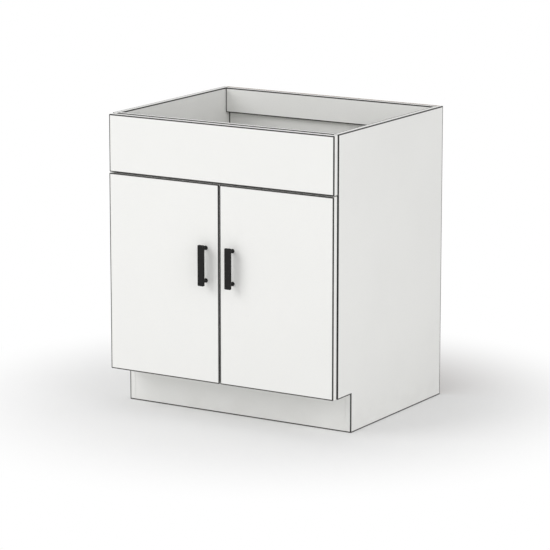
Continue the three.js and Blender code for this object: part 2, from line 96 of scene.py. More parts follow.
MERGE = 1e-6
SHARP_ANGLE = math.radians(38)
EDGE_STEPS = 5
CORNER_STEPS = 6
RIM_SUPPORT = 0.4
HOLE_SIDES = 64
HOLE_CHAMFER = 0.25
CUP_SIDES = 288
FLANGE_STEPS = 800
LEVEL_SLACK = 0.1 * MM
PIN_SIDES = 24
LINK_STEPS = 40
LINK_EYE_STEPS = 9
SCREW_SIDES = 32
HEAD_STEPS = 16
THREAD_STEPS = 5
POST_SIDES = 64
FLARE_STEPS = 12
BUMPER_SIDES = 40
BUMPER_STEPS = 12
STAPLE_SIDES = 6
STAPLE_STEPS = 9

# ---- Fine sizes of the hinges ----

CUP_ACROSS = 5 * MM
CUP_RADIUS = 17.2 * MM
CUP_WALL = 0.6 * MM
CUP_DEPTH = 12.9 * MM
CUP_FLOOR = 0.8 * MM
CUP_CORNER = 1.6 * MM
CUP_LIP = 0.5 * MM
CUP_RING = -6 * MM
BORE_RADIUS = 17.5 * MM
BORE_DEPTH = 13.2 * MM
DOOR_GAP = 2 * MM
SEAT = 0.3 * MM
FLANGE_THICKNESS = 0.9 * MM
FLANGE_RADIUS = 19.2 * MM
FLANGE_EDGE = 0.3 * MM
FLANGE_NECK = 0.8 * MM
FLANGE_REACH = 36 * MM
FLANGE_WING_MIDDLE = 9.5 * MM
FLANGE_WING_HALF_WIDTH = 7 * MM
FLANGE_WING_HALF_LENGTH = 29 * MM
FLANGE_WING_CORNER = 6 * MM
CUP_SCREW_HALF_SPACING = 22.5 * MM
DISH_DEPTH = 0.25 * MM
DISH_REACH = 3.4 * MM
LINK_GATE_HALF = 7.5 * MM
INNER_GATE_HALF = 4 * MM

PIN_RADIUS = 1.05 * MM
PIN_CHAMFER = 0.1 * MM
PIN_SINK = 0.1 * MM
RIVET_HEIGHT = 0.35 * MM
RIVET_SPREAD = 1.3
RIVET_TOP = 0.8

OUTER_ARM_PIVOT = np.array([19.89, 14.496]) * MM
OUTER_CUP_PIVOT = np.array([-6.063, -6.635]) * MM
OUTER_KNEE = np.array([1.973, -8.049]) * MM
INNER_ARM_PIVOT = np.array([25.897, 3.628]) * MM
INNER_CUP_PIVOT = np.array([-3.217, -10.199]) * MM

ARM_HALF_WIDTH = 6.5 * MM
ARM_WALL = 1.2 * MM
ARM_HEIGHT = 15 * MM
ARM_BEND = 1.8 * MM
ARM_BEND_STEP = 0.02 * MM
ARM_FLANK = 0.6 * MM
ARM_EDGE = 0.25 * MM
ARM_FRONT = 19 * MM
ARM_BACK = 74 * MM
ARM_UNDERSIDE = 2.9 * MM
ARM_HEEL = 4 * MM
ARM_SHOULDER = 12 * MM
ARM_WEB_SETBACK = 13 * MM
ARM_WEB_LAP = 0.5 * MM
NOSE_RADIUS = 2.6 * MM
NOSE_RISE = 1 * MM

ARM_SCREWS = (37 * MM, 62 * MM)
ARM_SCREW_RADIUS = 3.4 * MM
ARM_SCREW_HEIGHT = 1.2 * MM
ARM_SCREW_SHANK = 2 * MM
ARM_SCREW_LENGTH = 1.5 * MM
ARM_SCREW_PITCH = 0.7 * MM

PLATE_SETBACK = 37 * MM
PLATE_THICKNESS = 2 * MM
PLATE_HALF_WIDTH = 8 * MM
PLATE_HALF_LENGTH = 25 * MM
PLATE_CORNER = 5 * MM
PLATE_EDGE = 0.6 * MM
RIB_HALF_WIDTH = 4.9 * MM
RIB_FRONT = 20.3 * MM
RIB_BACK = 70 * MM
RIB_TOP = 13.5 * MM
RIB_CORNER = 2 * MM
RIB_EDGE = 0.7 * MM

LINK_HALF_THICKNESS = 1.5 * MM
LINK_EYE = 2.3 * MM
LINK_PLATE = 1.2 * MM
LINK_EDGE = 0.2 * MM
OUTER_LINK_HALF_WIDTH = 5 * MM
LINK_WEB_SPAN = (0.3, 0.8)
LINK_WEB_HALF_THICKNESS = 0.9 * MM
LINK_WEB_CORNER = 0.5 * MM
LINK_WEB_EDGE = 0.1 * MM

# ---- Fine sizes of the screws, handles, bumpers and staples ----

HEAD_HEIGHT = 1.7 * MM
SHANK_RADII = (("plate", 2.6 * MM), ("handle", 2 * MM), ("", 1.8 * MM))
THREAD_DEPTH = 0.35 * MM
TIP_TURNS = 2
RECESS_ARM = 2.1 * MM
RECESS_HALF_WIDTH = 0.45 * MM
RECESS_DEPTH = 1.1 * MM
RECESS_SLOPE = 0.25 * MM

BAR_THICKNESS = 8 * MM
POST_HALF_SPACING = 48 * MM
POST_RADIUS = 5 * MM
POST_FOOT = 6.5 * MM
POST_FOOT_HEIGHT = 0.8 * MM
POST_FOOT_EDGE = 0.2 * MM
POST_FLARE = 2.2 * MM

DOME_POWER = 3.2

STAPLE_HALF_LENGTH = 5.5 * MM
STAPLE_HALF_WIDTH = 0.55 * MM
STAPLE_HALF_HEIGHT = 0.28 * MM
STAPLE_LIFT = 0.1 * MM
STAPLE_DIP = 0.9 * MM
STAPLES_FROM_SIDE = 5 * MM
STAPLES_FROM_BOTTOM = 10 * MM
STAPLES_FROM_TOP = 30 * MM
STAPLE_ROW_MARGIN = 40 * MM
STAPLE_LEVEL_MARGIN = 90 * MM

# ---- Looks that a user would leave alone ----

LINE_START, LINE_END = 0.75, 1.1
INNER_START, INNER_END = 3, 3.3
NOTCH_FADE = 0.2 * MM
BARE_DEPTH = 0.05 * MM
FILM_THICKNESS = 0.3 * MM
FILM_FADE = 0.2 * MM
DUST_HEIGHT = 90 * MM
HAND_STRETCH = 0.45
HAND_NEAR, HAND_FAR = 15 * MM, 60 * MM
HELD_HALF_LENGTH = 50 * MM

LAMINATE_STIPPLE = 0.13 * MM
MELAMINE_PEBBLE = 0.12 * MM
CHIP_DEPTH = 4.0
HARDBOARD_FIBRE = 0.05 * MM
POWDER_PEEL = 0.05 * MM
PLATING_LINES = 0.012 * MM
BUMPER_GRAIN = 0.02 * MM

HAND_MARK = (0.62, 0.6, 0.56)
DUST = (0.55, 0.53, 0.5)
RUBBED_SEAM = (0.16, 0.15, 0.14)
POWDER_FLECK = (0.05, 0.05, 0.05)
ZINC_SHEEN = (0.62, 0.6, 0.5)
WHITE = (1.0, 1.0, 1.0)
CHIP_TONES = ((0.2, 0.62), (0.85, 1.42), (0.4, 0.95), (0.6, 1.12))

# ---- Surfaces: each patch is a pair of points and faces ----


def grid(points, wrap=False):
    """Four-sided faces over a grid of points, rows by columns. A wrapped grid joins its last row to its
    first."""
    rows, columns = points.shape[:2]
    index = np.arange(rows * columns).reshape(rows, columns)
    if wrap:
        index = np.vstack([index, index[:1]])
    quads = np.stack([index[:-1, :-1], index[1:, :-1], index[1:, 1:], index[:-1, 1:]], axis=-1)
    return points.reshape(-1, 3), quads.reshape(-1, 4)


def tube(rings):
    """Faces that join closed rings of points, one after the other."""
    return grid(np.stack(rings).transpose(1, 0, 2), wrap=True)


def filled(loops):
    """Triangles over the flat face inside the first loop and outside the others."""
    points = np.concatenate(loops)
    triangles = tessellate_polygon([[Vector(p) for p in loop] for loop in loops])
    return points, np.array(triangles)


def moved(patches, place):
    """The patches with their points sent through a function of an array of points."""
    return [(place(points), faces) for points, faces in patches]


def softened(points, reach):
    """A closed outline with each corner P replaced by the curve (1-t)^2 A + 2t(1-t) P + t^2 B, where A and B
    lie at the reach before and after the corner."""
    p = np.asarray(points, float)
    before = np.roll(p, 1, axis=0) - p
    after = np.roll(p, -1, axis=0) - p
    reach = np.broadcast_to(reach, len(p))
    a = p + before * (reach / np.linalg.norm(before, axis=1))[:, None]
    b = p + after * (reach / np.linalg.norm(after, axis=1))[:, None]
    t = np.linspace(0, 1, CORNER_STEPS + 1)[None, :, None]
    curve = (1 - t) ** 2 * a[:, None] + 2 * t * (1 - t) * p[:, None] + t**2 * b[:, None]
    return curve.reshape(-1, 2)


def rectangle(low, high, corner):
    """A rectangle between two corners, with its own corners softened."""
    (x0, y0), (x1, y1) = low, high
    return softened([(x0, y0), (x1, y0), (x1, y1), (x0, y1)], corner)


def inset(outline, distance):
    """The outline drawn inwards: each point moves by distance (m + n) / (1 + m.n), where m and n are the
    inward normals of the two lines that meet there."""
    step = np.roll(outline, -1, axis=0) - outline
    step /= np.linalg.norm(step, axis=1)[:, None]
    after = np.c_[-step[:, 1], step[:, 0]]
    before = np.roll(after, 1, axis=0)
    return outline + distance * (before + after) / (1 + (before * after).sum(axis=1))[:, None]


def anticlockwise(outline):
    """The outline with its points in anticlockwise order."""
    x, y = outline.T
    area = (x * np.roll(y, -1) - y * np.roll(x, -1)).sum()
    return outline if area > 0 else outline[::-1]


def circle(centre, radius):
    """Points round a circle."""
    turn = np.linspace(0, 2 * np.pi, HOLE_SIDES, endpoint=False)
    return np.c_[centre[0] + radius * np.cos(turn), centre[1] + radius * np.sin(turn)]


def at_height(outline, height):
    """A flat outline as points in space."""
    return np.c_[outline, np.full(len(outline), height)]


def plate(outline, low, high, edge, holes=()):
    """A flat piece between two heights with rounded edges. Its rim is a row of rings: at the angle a the
    outline is drawn in by edge (1 - sin a) and lies edge (1 - cos a) inside the face. Each hole is a
    centre, a radius and a depth below the high face, with a small chamfer at its mouth. A hole without a
    depth goes through."""
    outline = anticlockwise(np.asarray(outline, float))
    turn = np.linspace(0, np.pi / 2, EDGE_STEPS + 1)
    drawn_in = np.r_[edge * (1 + RIM_SUPPORT), edge * (1 - np.sin(turn))]
    sunk = np.r_[0, edge * (1 - np.cos(turn))]
    insets = np.r_[drawn_in, drawn_in[::-1]]
    heights = np.r_[high - sunk, (low + sunk)[::-1]]
    rings = [at_height(inset(outline, d), h) for d, h in zip(insets, heights)]
    patches = [tube(rings)]
    high_face, low_face = [rings[0]], [rings[-1]]
    for centre, radius, depth in holes:
        chamfer = edge * HOLE_CHAMFER
        walls = [(radius + chamfer, high), (radius, high - chamfer)]
        if depth:
            walls += [(radius, high - depth), (0, high - depth)]
        else:
            walls += [(radius, low + chamfer), (radius + chamfer, low)]
        bore = [at_height(circle(centre, r), h) for r, h in walls]
        patches.append(tube(bore))
        high_face.append(bore[0])
        if not depth:
            low_face.append(bore[-1])
    return [*patches, filled(high_face), filled(low_face)]


def lathe(profile, sides):
    """A turned surface: each radius and height of the profile goes round the third axis."""
    radius, height = np.asarray(profile, float).T
    turn = np.linspace(0, 2 * np.pi, sides, endpoint=False)[:, None]
    x, y = radius * np.cos(turn), radius * np.sin(turn)
    return grid(np.stack([x, y, np.broadcast_to(height, x.shape)], axis=-1), wrap=True)


def quarter(centre, radius, start):
    """Points of a quarter circle from a start angle in degrees, turning anticlockwise."""
    turn = np.radians(start) + np.linspace(0, np.pi / 2, EDGE_STEPS + 1)
    return [(centre[0] + radius * math.cos(a), centre[1] + radius * math.sin(a)) for a in turn]


def bar(profile, start, end):
    """A bar with a closed profile in the first two axes, from one place to another along the third."""
    rings = [at_height(np.asarray(profile, float), place) for place in (start, end)]
    return [tube(rings), filled([rings[0]]), filled([rings[1]])]


def screw(head_radius, head_height, shank_radius, length, pitch):
    """A screw with a cross recess, as one grid from the middle of its head to its tip. The head's height is
    h (1 - (r/R)^3)^0.45 less the recess, and the shank's radius falls by half the thread's depth times
    1 + cos(2 pi z / pitch + turn), and to nothing over its last turns, as their power 0.6."""
    turn = np.linspace(0, 2 * np.pi, SCREW_SIDES, endpoint=False)[:, None]
    share = np.linspace(0, 1, HEAD_STEPS)[None, :]
    radius = np.broadcast_to(head_radius * share, (SCREW_SIDES, HEAD_STEPS))
    x, y = abs(radius * np.cos(turn)), abs(radius * np.sin(turn))
    along, aside = np.maximum(x, y), np.minimum(x, y)
    recess = np.clip((RECESS_ARM - along) / RECESS_SLOPE, 0, 1)
    recess = recess * np.clip((RECESS_HALF_WIDTH + RECESS_SLOPE - aside) / RECESS_SLOPE, 0, 1)
    recess = recess * (1 - 0.5 * along / RECESS_ARM).clip(0)
    height = head_height * (1 - share**3) ** 0.45 - RECESS_DEPTH * recess
    depth = np.linspace(0, -length, int(length / pitch * THREAD_STEPS))[None, :]
    taper = np.clip((length + depth) / (TIP_TURNS * pitch), 0, 1) ** 0.6
    thread = THREAD_DEPTH * (1 + np.cos(2 * np.pi * depth / pitch + turn)) / 2
    shank = (shank_radius - thread * (depth < -pitch / 2)) * taper
    radius = np.hstack([radius, shank])
    height = np.hstack([height, np.broadcast_to(depth, shank.shape)])
    return [grid(np.stack([radius * np.cos(turn), radius * np.sin(turn), height], axis=-1), wrap=True)]


# ---- Placing: local axes are across, along and height ----


def facing(axis, origin=(0, 0, 0), way=1):
    """A function that lays local points on the frame, with the local height along the named axis and its
    way."""
    order = {"x": (2, 0, 1), "y": (0, 2, 1), "z": (0, 1, 2)}[axis]
    scale = np.ones(3)
    scale["xyz".index(axis)] = way
    return lambda points: np.asarray(origin) + points[:, order] * scale


def hinge_place(side, height):
    """A function that lays points of a hinge on the frame. In a hinge, x runs from the side panel's inner
    face into the cabinet, y from the panel's front edge backwards, and z along the pins."""
    origin = np.array([side * INNER_HALF_WIDTH, BOX_FRONT, height])
    return lambda points: origin + points * np.array([-side, 1, -side])


def add_object(name, data):
    """A new object in the scene."""
    item = bpy.data.objects.new(name, data)
    bpy.context.scene.collection.objects.link(item)
    return item


def make_piece(name, patches, finish, body, nodes=()):
    """One mesh object from patches. Doubles are merged, so that seams and poles close, and then the faces
    are turned outwards."""
    starts = np.cumsum([0] + [len(points) for points, _ in patches])
    faces = [face for start, (_, part) in zip(starts, patches) for face in (part + start).tolist()]
    mesh = bpy.data.meshes.new(name)
    mesh.from_pydata(np.concatenate([points for points, _ in patches]).tolist(), [], faces)
    shape = bmesh.new()
    shape.from_mesh(mesh)
    bmesh.ops.remove_doubles(shape, verts=shape.verts, dist=MERGE)
    bmesh.ops.recalc_face_normals(shape, faces=shape.faces)
    shape.to_mesh(mesh)
    shape.free()
    mesh.polygons.foreach_set("use_smooth", np.ones(len(mesh.polygons), bool))
    mesh.set_sharp_from_angle(angle=SHARP_ANGLE)
    mesh.materials.append(finish)
    piece = add_object(name, mesh)
    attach(piece, body)
    if nodes:
        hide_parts(*nodes)


def dress(node, finish):
    """Gives a CAD node a finish."""
    for slot in frame["nodes"][node].material_slots:
        slot.material = finish


# ---- Shader maths ----


class Value:
    """A socket of a shader node. Sums, products and so on of values add Math nodes."""

    def __init__(self, nodes, socket):
        self.nodes = nodes
        self.socket = socket

    def math(self, operation, *operands):
        return self.nodes.node("ShaderNodeMath", {"operation": operation}, dict(enumerate(operands)))

    def __add__(self, other):
        return self.math("ADD", self, other)

    def __sub__(self, other):
        return self.math("SUBTRACT", self, other)

    def __rsub__(self, other):
        return self.math("SUBTRACT", other, self)

    def __mul__(self, other):
        return self.math("MULTIPLY", self, other)

    def __pow__(self, other):
        return self.math("POWER", self, other)

    def __rpow__(self, other):
        return self.math("POWER", other, self)

    def __abs__(self):
        return self.math("ABSOLUTE", self)

    __radd__ = __add__
    __rmul__ = __mul__

    def least(self, other):
        return self.math("MINIMUM", self, other)

    def most(self, other):
        return self.math("MAXIMUM", self, other)

    def rise(self, start, end):
        """0 before the start and 1 after the end, with a smooth step between them."""
        inputs = {"Value": self, "From Min": start, "From Max": end}
        return self.nodes.node("ShaderNodeMapRange", {"interpolation_type": "SMOOTHSTEP"}, inputs)


class Nodes:
    """The nodes of a material or of the sky."""

    def __init__(self, owner):
        owner.use_nodes = True
        self.tree = owner.node_tree
        self.tree.nodes.clear()

    def node(self, kind, settings=None, inputs=None, output=0):
        """Adds a node: its settings first, then the values or links of its sockets. Gives one output as a
        value."""
        node = self.tree.nodes.new(kind)
        for name, setting in (settings or {}).items():
            if name == "stops":
                self.set_stops(node.color_ramp, setting)
            else:
                setattr(node, name, setting)
        for name, value in (inputs or {}).items():
            if isinstance(value, Value):
                self.tree.links.new(value.socket, node.inputs[name])
            else:
                node.inputs[name].default_value = value
        return Value(self, node.outputs[output]) if len(node.outputs) else node

    def set_stops(self, ramp, stops):
        """Sets a ramp's stops from pairs of a place and a colour. A new ramp has two."""
        for element, (place, colour) in zip(ramp.elements, stops):
            element.position = place
            element.color = solid(colour)
        for place, colour in stops[2:]:
            ramp.elements.new(place).color = solid(colour)

    def backdrop(self):
        """1 for a ray that sees the plain background: straight from the camera, or by way of metal or
        glass."""
        rays = [f"Is {kind} Ray" for kind in ("Camera", "Glossy", "Transmission")]
        straight, glossy, through = (self.node("ShaderNodeLightPath", output=ray) for ray in rays)
        return straight.most(glossy).most(through)


class Finish(Nodes):
    """A material made of nodes, for one kind of surface."""

    def __init__(self, name):
        self.material = bpy.data.materials.new(name)
        super().__init__(self.material)
        self.place = self.node("ShaderNodeTexCoord", output="Object")
        inputs = {"Vector": self.place}
        self.places = [self.node("ShaderNodeSeparateXYZ", inputs=inputs, output=axis) for axis in "XYZ"]
        self.across, self.back, self.up = self.places

    def stretched(self, stretch):
        """The place with its axes scaled, which draws a pattern out along an axis with a small scale."""
        inputs = {"Vector": self.place, "Scale": stretch}
        return self.node("ShaderNodeMapping", {"vector_type": "POINT"}, inputs, "Vector")

    def noise(self, scale, detail=2.0, roughness=0.5, stretch=(1, 1, 1)):
        """Smooth noise with a number of humps a metre, drawn out along the axes with a small stretch."""
        vector = self.stretched(stretch)
        inputs = {"Vector": vector, "Scale": scale, "Detail": detail, "Roughness": roughness}
        return self.node("ShaderNodeTexNoise", {"noise_dimensions": "3D"}, inputs)

    def cells(self, scale, output="Distance", stretch=(1, 1, 1)):
        """Cells with a number of them a metre, as the distance to the middle or as a colour of their
        own."""
        inputs = {"Vector": self.stretched(stretch), "Scale": scale}
        return self.node("ShaderNodeTexVoronoi", inputs=inputs, output=output)

    def mix(self, share, first, second):
        """A colour between two."""
        first, second = (c if isinstance(c, Value) else solid(c) for c in (first, second))
        inputs = {0: share, 6: first, 7: second}
        return self.node("ShaderNodeMix", {"data_type": "RGBA", "blend_type": "MIX"}, inputs, 2)

    def bump(self, height, distance):
        """A normal from a height between 0 and 1, which stands for the distance in metres."""
        inputs = {"Height": height, "Distance": distance}
        return self.node("ShaderNodeBump", inputs=inputs, output="Normal")

    def surface(self, **sockets):
        """Ends the material with a Principled shader, and gives the material."""
        inputs = {name.replace("_", " "): value for name, value in sockets.items()}
        shader = self.node("ShaderNodeBsdfPrincipled", inputs=inputs)
        self.node("ShaderNodeOutputMaterial", inputs={"Surface": shader})
        return self.material


def solid(colour):
    """A colour with full alpha."""
    return (*colour[:3], 1.0)


def shade(colour, factor):
    """A colour made darker or lighter."""
    return tuple(min(1.0, c * factor) for c in colour[:3])


def from_planes(coordinate, low, high):
    """Distance from the nearer of two planes, for a point between them."""
    return float(high - low) / 2 - abs(coordinate - float(low + high) / 2)


def dark_line(gap, width):
    """1 up to about the width from a place and 0 beyond it, for the distance from that place."""
    return 1 - gap.rise(width * LINE_START, width * LINE_END)


def seams(finish, low, high, thickness_axis, width, notch=None, ends=True):
    """1 along the dark seams of a faced board, which lie where a broad face meets the outline, and 0
    elsewhere. The outline is the board's box less a notch at its front bottom corner. Below the notch's
    top, where the toe-kick board meets the panel's inner face, only the outer face has a seam, and the
    foot of the notch's edge has one that runs on from the toe-kick board's. A board without ends has none
    across it."""
    gaps = [from_planes(place, low[i], high[i]) for i, place in enumerate(finish.places)]
    face = gaps.pop(thickness_axis)
    outline = gaps[0].least(gaps[1]) if ends else gaps[1]
    if not notch:
        return dark_line(face.most(outline), width)
    back, top = notch
    outline = outline.least((finish.back - back).most(finish.up - top))
    depth = abs(finish.across) - INNER_HALF_WIDTH
    outer = depth.rise(width * INNER_START, width * INNER_END)
    face = face + (1 - outer) * (1 - finish.up.rise(top - NOTCH_FADE, top))
    foot = (finish.back - back).most(finish.up)
    return dark_line(face.most(outline).least(foot), width)


# ---- Finishes: noises run from about 0.3 to 0.7, so most are sharpened by a smooth step ----


def laminate(name, colours, low, high, handle_across=None):
    """White satin laminate on a front. The dark core of the sheet shows as a thin line along the eased
    edges, the surface has a fine stipple, and round a handle it is a little smoother from hands."""
    finish = Finish(name)
    white = colours.front_colour
    line = seams(finish, low, high, 1, colours.seam_and_corner_shade_width)
    cloud = finish.noise(2.2, 3.0)
    speck = finish.noise(900.0)
    tone = finish.mix(cloud.rise(0.3, 0.7) * 0.5, white, shade(white, 0.965))
    tone = finish.mix(speck.rise(0.58, 0.74) * 0.5, tone, shade(white, 0.86))
    rub = cloud * 0.1
    if handle_across is not None:
        aside = finish.across - handle_across
        along = (finish.up - HANDLE_HEIGHT) * HAND_STRETCH
        near = 1 - ((aside**2 + along**2) ** 0.5).rise(HAND_NEAR, HAND_FAR)
        rub = near * finish.noise(45.0, 3.0).rise(0.35, 0.65)
    tone = finish.mix(rub * 0.05, tone, HAND_MARK)
    tone = finish.mix(line, tone, seam_and_corner_shade_tone(finish, colours))
    roughness = 0.36 + (cloud - 0.5) * 0.12 - rub * 0.07 + line * 0.25
    stipple = finish.noise(650.0) * (1 - line * 0.7) + speck * 0.3
    normal = finish.bump(stipple, LAMINATE_STIPPLE)
    return finish.surface(Base_Color=tone, Roughness=roughness, Normal=normal)


def melamine(name, colours, low, high, thickness_axis, notch=None, bare=(), ends=True):
    """White melamine on a board of the box: a pebbled face, an edge band with a dark seam, faint dust near
    the floor and, on the edges that nobody bands, the bare chipboard. A bare edge is given by the axis it
    faces and its place."""
    finish = Finish(name)
    white = colours.carcass_colour
    line = seams(finish, low, high, thickness_axis, colours.seam_and_corner_shade_width, notch, ends)
    height = finish.cells(520.0)
    cloud = finish.noise(3.0, 3.0)
    tone = finish.mix(cloud.rise(0.3, 0.7) * 0.6, white, shade(white, 0.955))
    tone = finish.mix(finish.noise(700.0).rise(0.58, 0.74) * 0.5, tone, shade(white, 0.84))
    dust = (1 - finish.up.rise(0.0, DUST_HEIGHT)) * finish.noise(16.0, 5.0).rise(0.4, 0.7)
    tone = finish.mix(dust * 0.12, tone, DUST)
    tone = finish.mix(line, tone, seam_and_corner_shade_tone(finish, colours))
    roughness = 0.5 + (cloud - 0.5) * 0.1
    if bare:
        chips = chipboard(finish, colours)
        grain = finish.noise(900.0, 3.0) * CHIP_DEPTH
    for axis, place in bare:
        edge = 1 - abs(finish.places[axis] - float(place)).rise(BARE_DEPTH, 2 * BARE_DEPTH)
        tone = finish.mix(edge, tone, chips)
        roughness = roughness + edge * 0.35
        height = height * (1 - edge) + grain * edge
    normal = finish.bump(height, MELAMINE_PEBBLE)
    return finish.surface(Base_Color=tone, Roughness=roughness, Normal=normal)


def seam_and_corner_shade_tone(finish, colours):
    """The colour of a dark seam, and of the painted shade along the back's inner corners with the side
    panels, a little uneven, with a few tiny rubbed places.
    """
    dark = colours.seam_and_corner_shade_colour
    uneven = finish.mix(finish.noise(70.0, 3.0).rise(0.35, 0.65), dark, shade(dark, 1.7))
    rubbed = finish.noise(160.0, 4.0, 0.6).rise(0.68, 0.74)
    return finish.mix(rubbed * 0.6, uneven, RUBBED_SEAM)


def chipboard(finish, colours):
    """The colour of a bare chipboard edge: cells drawn out along the board, each a chip of its own tone,
    with fine grit between them."""
    wood = colours.core_colour
    stops = [(place, shade(wood, factor)) for place, factor in CHIP_TONES]

    def chips(scale, stretch):
        cell = finish.cells(scale, "Color", stretch)
        return finish.node("ShaderNodeValToRGB", {"stops": stops}, {"Fac": cell}, "Color")

    tone = chips(1000.0, (1.2, 1, 0.36))
    tone = finish.mix(0.35, tone, chips(520.0, (1.4, 1, 0.25)))
    grit = finish.noise(2200.0, 3.0, 0.6).rise(0.6, 0.7)
    return finish.mix(grit * 0.5, tone, shade(wood, 0.5))


def hardboard(name, colours, inside):
    """The thin back: a white film on its inside, with a dark line of painted shade along the inner corners
    with the side panels, and bare brown fibre on its outside and edges, with faint pressed fibres and rub
    marks."""
    finish = Finish(name)
    outside = finish.back.rise(inside + FILM_THICKNESS, inside + FILM_THICKNESS + FILM_FADE)
    fibre = finish.noise(420.0, 5.0, 0.6, stretch=(0.6, 1, 1))
    cloud = finish.noise(4.0, 3.0)
    bare = colours.back_colour
    brown = finish.mix(fibre.rise(0.3, 0.7), shade(bare, 0.86), shade(bare, 1.12))
    brown = finish.mix(cloud.rise(0.35, 0.65) * 0.3, brown, shade(bare, 0.88))
    fleck = finish.noise(900.0, 3.0, 0.6, stretch=(0.3, 1, 1)).rise(0.62, 0.72)
    brown = finish.mix(fleck * 0.45, brown, shade(bare, 0.6))
    scuff = finish.noise(38.0, 4.0, 0.6, stretch=(1, 1, 0.12)).rise(0.66, 0.76)
    brown = finish.mix(scuff * 0.35, brown, shade(bare, 1.45))
    film = colours.carcass_colour
    white = finish.mix(cloud.rise(0.3, 0.7) * 0.6, film, shade(film, 0.95))
    # Painted shade: a dark line on the white film in the inner corners with the side panels, where shade
    # falls.
    corner = dark_line(abs(abs(finish.across) - INNER_HALF_WIDTH), colours.seam_and_corner_shade_width)
    white = finish.mix(corner, white, seam_and_corner_shade_tone(finish, colours))
    tone = finish.mix(outside, white, brown)
    roughness = 0.48 + outside * 0.3 - scuff * outside * 0.08
    height = fibre * outside + finish.cells(520.0) * (1 - outside) * 0.6
    normal = finish.bump(height, HARDBOARD_FIBRE)
    return finish.surface(Base_Color=tone, Roughness=roughness, Normal=normal)


def powder_coat(name, colours):
    """Matt black powder coat: a fine orange peel, tiny pale flecks, and a slight sheen where it is held."""
    finish = Finish(name)
    black = colours.handle_colour
    peel = finish.noise(1500.0)
    fleck = finish.noise(3800.0, 1.0).rise(0.7, 0.78)
    held = 1 - abs(finish.up - HANDLE_HEIGHT).rise(0.0, HELD_HALF_LENGTH)
    held = held * finish.noise(60.0, 3.0).rise(0.35, 0.65)
    tone = finish.mix(fleck * 0.4, shade(black, 0.35), POWDER_FLECK)
    tone = finish.mix(finish.noise(90.0, 3.0).rise(0.4, 0.7) * 0.4, tone, shade(black, 0.7))
    roughness = 0.55 + (peel - 0.5) * 0.25 - held * 0.12
    normal = finish.bump(peel, POWDER_PEEL)
    return finish.surface(Base_Color=tone, Roughness=roughness, Normal=normal, Specular_IOR_Level=0.2)


def plated(name, colour, dull, warmth):
    """Bright plating on pressed steel: fine drawn lines, a slightly cloudy film and dull grease marks."""
    finish = Finish(name)
    drawn = finish.noise(2600.0, 3.0, 0.6, stretch=(1, 0.05, 1))
    cloud = finish.noise(130.0, 3.0)
    tone = finish.mix(cloud.rise(0.35, 0.65), colour, warmth)
    tone = finish.mix(finish.noise(420.0, 4.0).rise(0.6, 0.75) * 0.25, tone, shade(colour, 0.62))
    roughness = dull + (drawn - 0.5) * 0.16 + (cloud - 0.5) * 0.14
    normal = finish.bump(drawn, PLATING_LINES)
    return finish.surface(Base_Color=tone, Metallic=1.0, Roughness=roughness, Normal=normal)


def nickel(part, colours, lightness, dull, film):
    """Nickel plating for one part of the hinges: its lightness and dullness, and the shade of its film."""
    colour = colours.nickel_colour
    return plated(f"nickel_{part}", shade(colour, lightness), dull, shade(colour, film))


def soft_plastic(name, colours):
    """A milky soft bumper with a little dust on it."""
    finish = Finish(name)
    milky = colours.bumper_colour
    dust = finish.noise(1200.0, 4.0).rise(0.55, 0.72)
    tone = finish.mix(dust * 0.5, milky, shade(milky, 0.7))
    roughness = 0.22 + dust * 0.3
    normal = finish.bump(finish.noise(800.0), BUMPER_GRAIN)
    return finish.surface(Base_Color=tone, Roughness=roughness, Normal=normal, Coat_Weight=0.2)


# ---- Settings ----


def colour_property(name, description, default):
    """A colour in the settings."""
    return FloatVectorProperty(
        name=name, description=description, default=default, min=0.0, max=1.0, size=3, subtype="COLOR"
    )


def number_property(name, description, default, **kind):
    """A number in the settings, with its unit or subtype."""
    return FloatProperty(name=name, description=description, default=default, **kind)


def length_property(name, description, default):
    """A length in the settings."""
    return number_property(name, description, default, unit="LENGTH")


class CabinetColours(bpy.types.PropertyGroup):
    """Colours of the finishes."""

    front_colour: colour_property(
        "Fronts", "Laminate of the doors and the false front", RECORD_COLOURS["front_board"]
    )
    carcass_colour: colour_property(
        "Box", "Melamine on the boards of the box", RECORD_COLOURS["carcass_board"]
    )
    # Also the colour of the painted shade along the back's inner corners with the side panels.
    seam_and_corner_shade_colour: colour_property(
        "Seams", "Dark core of the laminate, seen along the edges", (0.014, 0.013, 0.0125)
    )
    core_colour: colour_property("Chipboard", "Bare chipboard on hidden edges", (0.52, 0.37, 0.22))
    back_colour: colour_property("Back", "Bare outside of the hardboard back", (0.3, 0.19, 0.11))
    handle_colour: colour_property(
        "Handles", "Powder coat of the handles", RECORD_COLOURS["handle_metal"]
    )
    nickel_colour: colour_property(
        "Hinges", "Nickel plating of the hinges", RECORD_COLOURS["hinge_steel"]
    )
    zinc_colour: colour_property("Screws", "Zinc plating of the screws", RECORD_COLOURS["screw_steel"])
    bumper_colour: colour_property(
        "Bumpers", "Soft plastic of the bumpers", RECORD_COLOURS["bumper_rubber"]
    )
    # Also the width of the painted shade along the back's inner corners with the side panels.
    seam_and_corner_shade_width: length_property("Seam width", "Width of the dark line along an edge", 3.6 * MM)


class CabinetSizes(bpy.types.PropertyGroup):
    """Sizes of the fine pieces."""

    front_edge: length_property("Front edge", "Rounding of the edges of the fronts", 1.2 * MM)
    front_corner: length_property("Front corner", "Softening of the corners of the fronts", 2.4 * MM)
    handle_edge: length_property("Handle edge", "Rounding of the edges of the handles", 1.4 * MM)
    handle_corner: length_property("Handle corner", "Softening of the handles' corners", 3 * MM)
    thread_pitch: length_property("Thread pitch", "Rise of a screw's thread in one turn", 1.4 * MM)
    staple_rows: IntProperty(
        name="Staples", description="Staples up each side of the back", default=8, min=2, max=30
    )


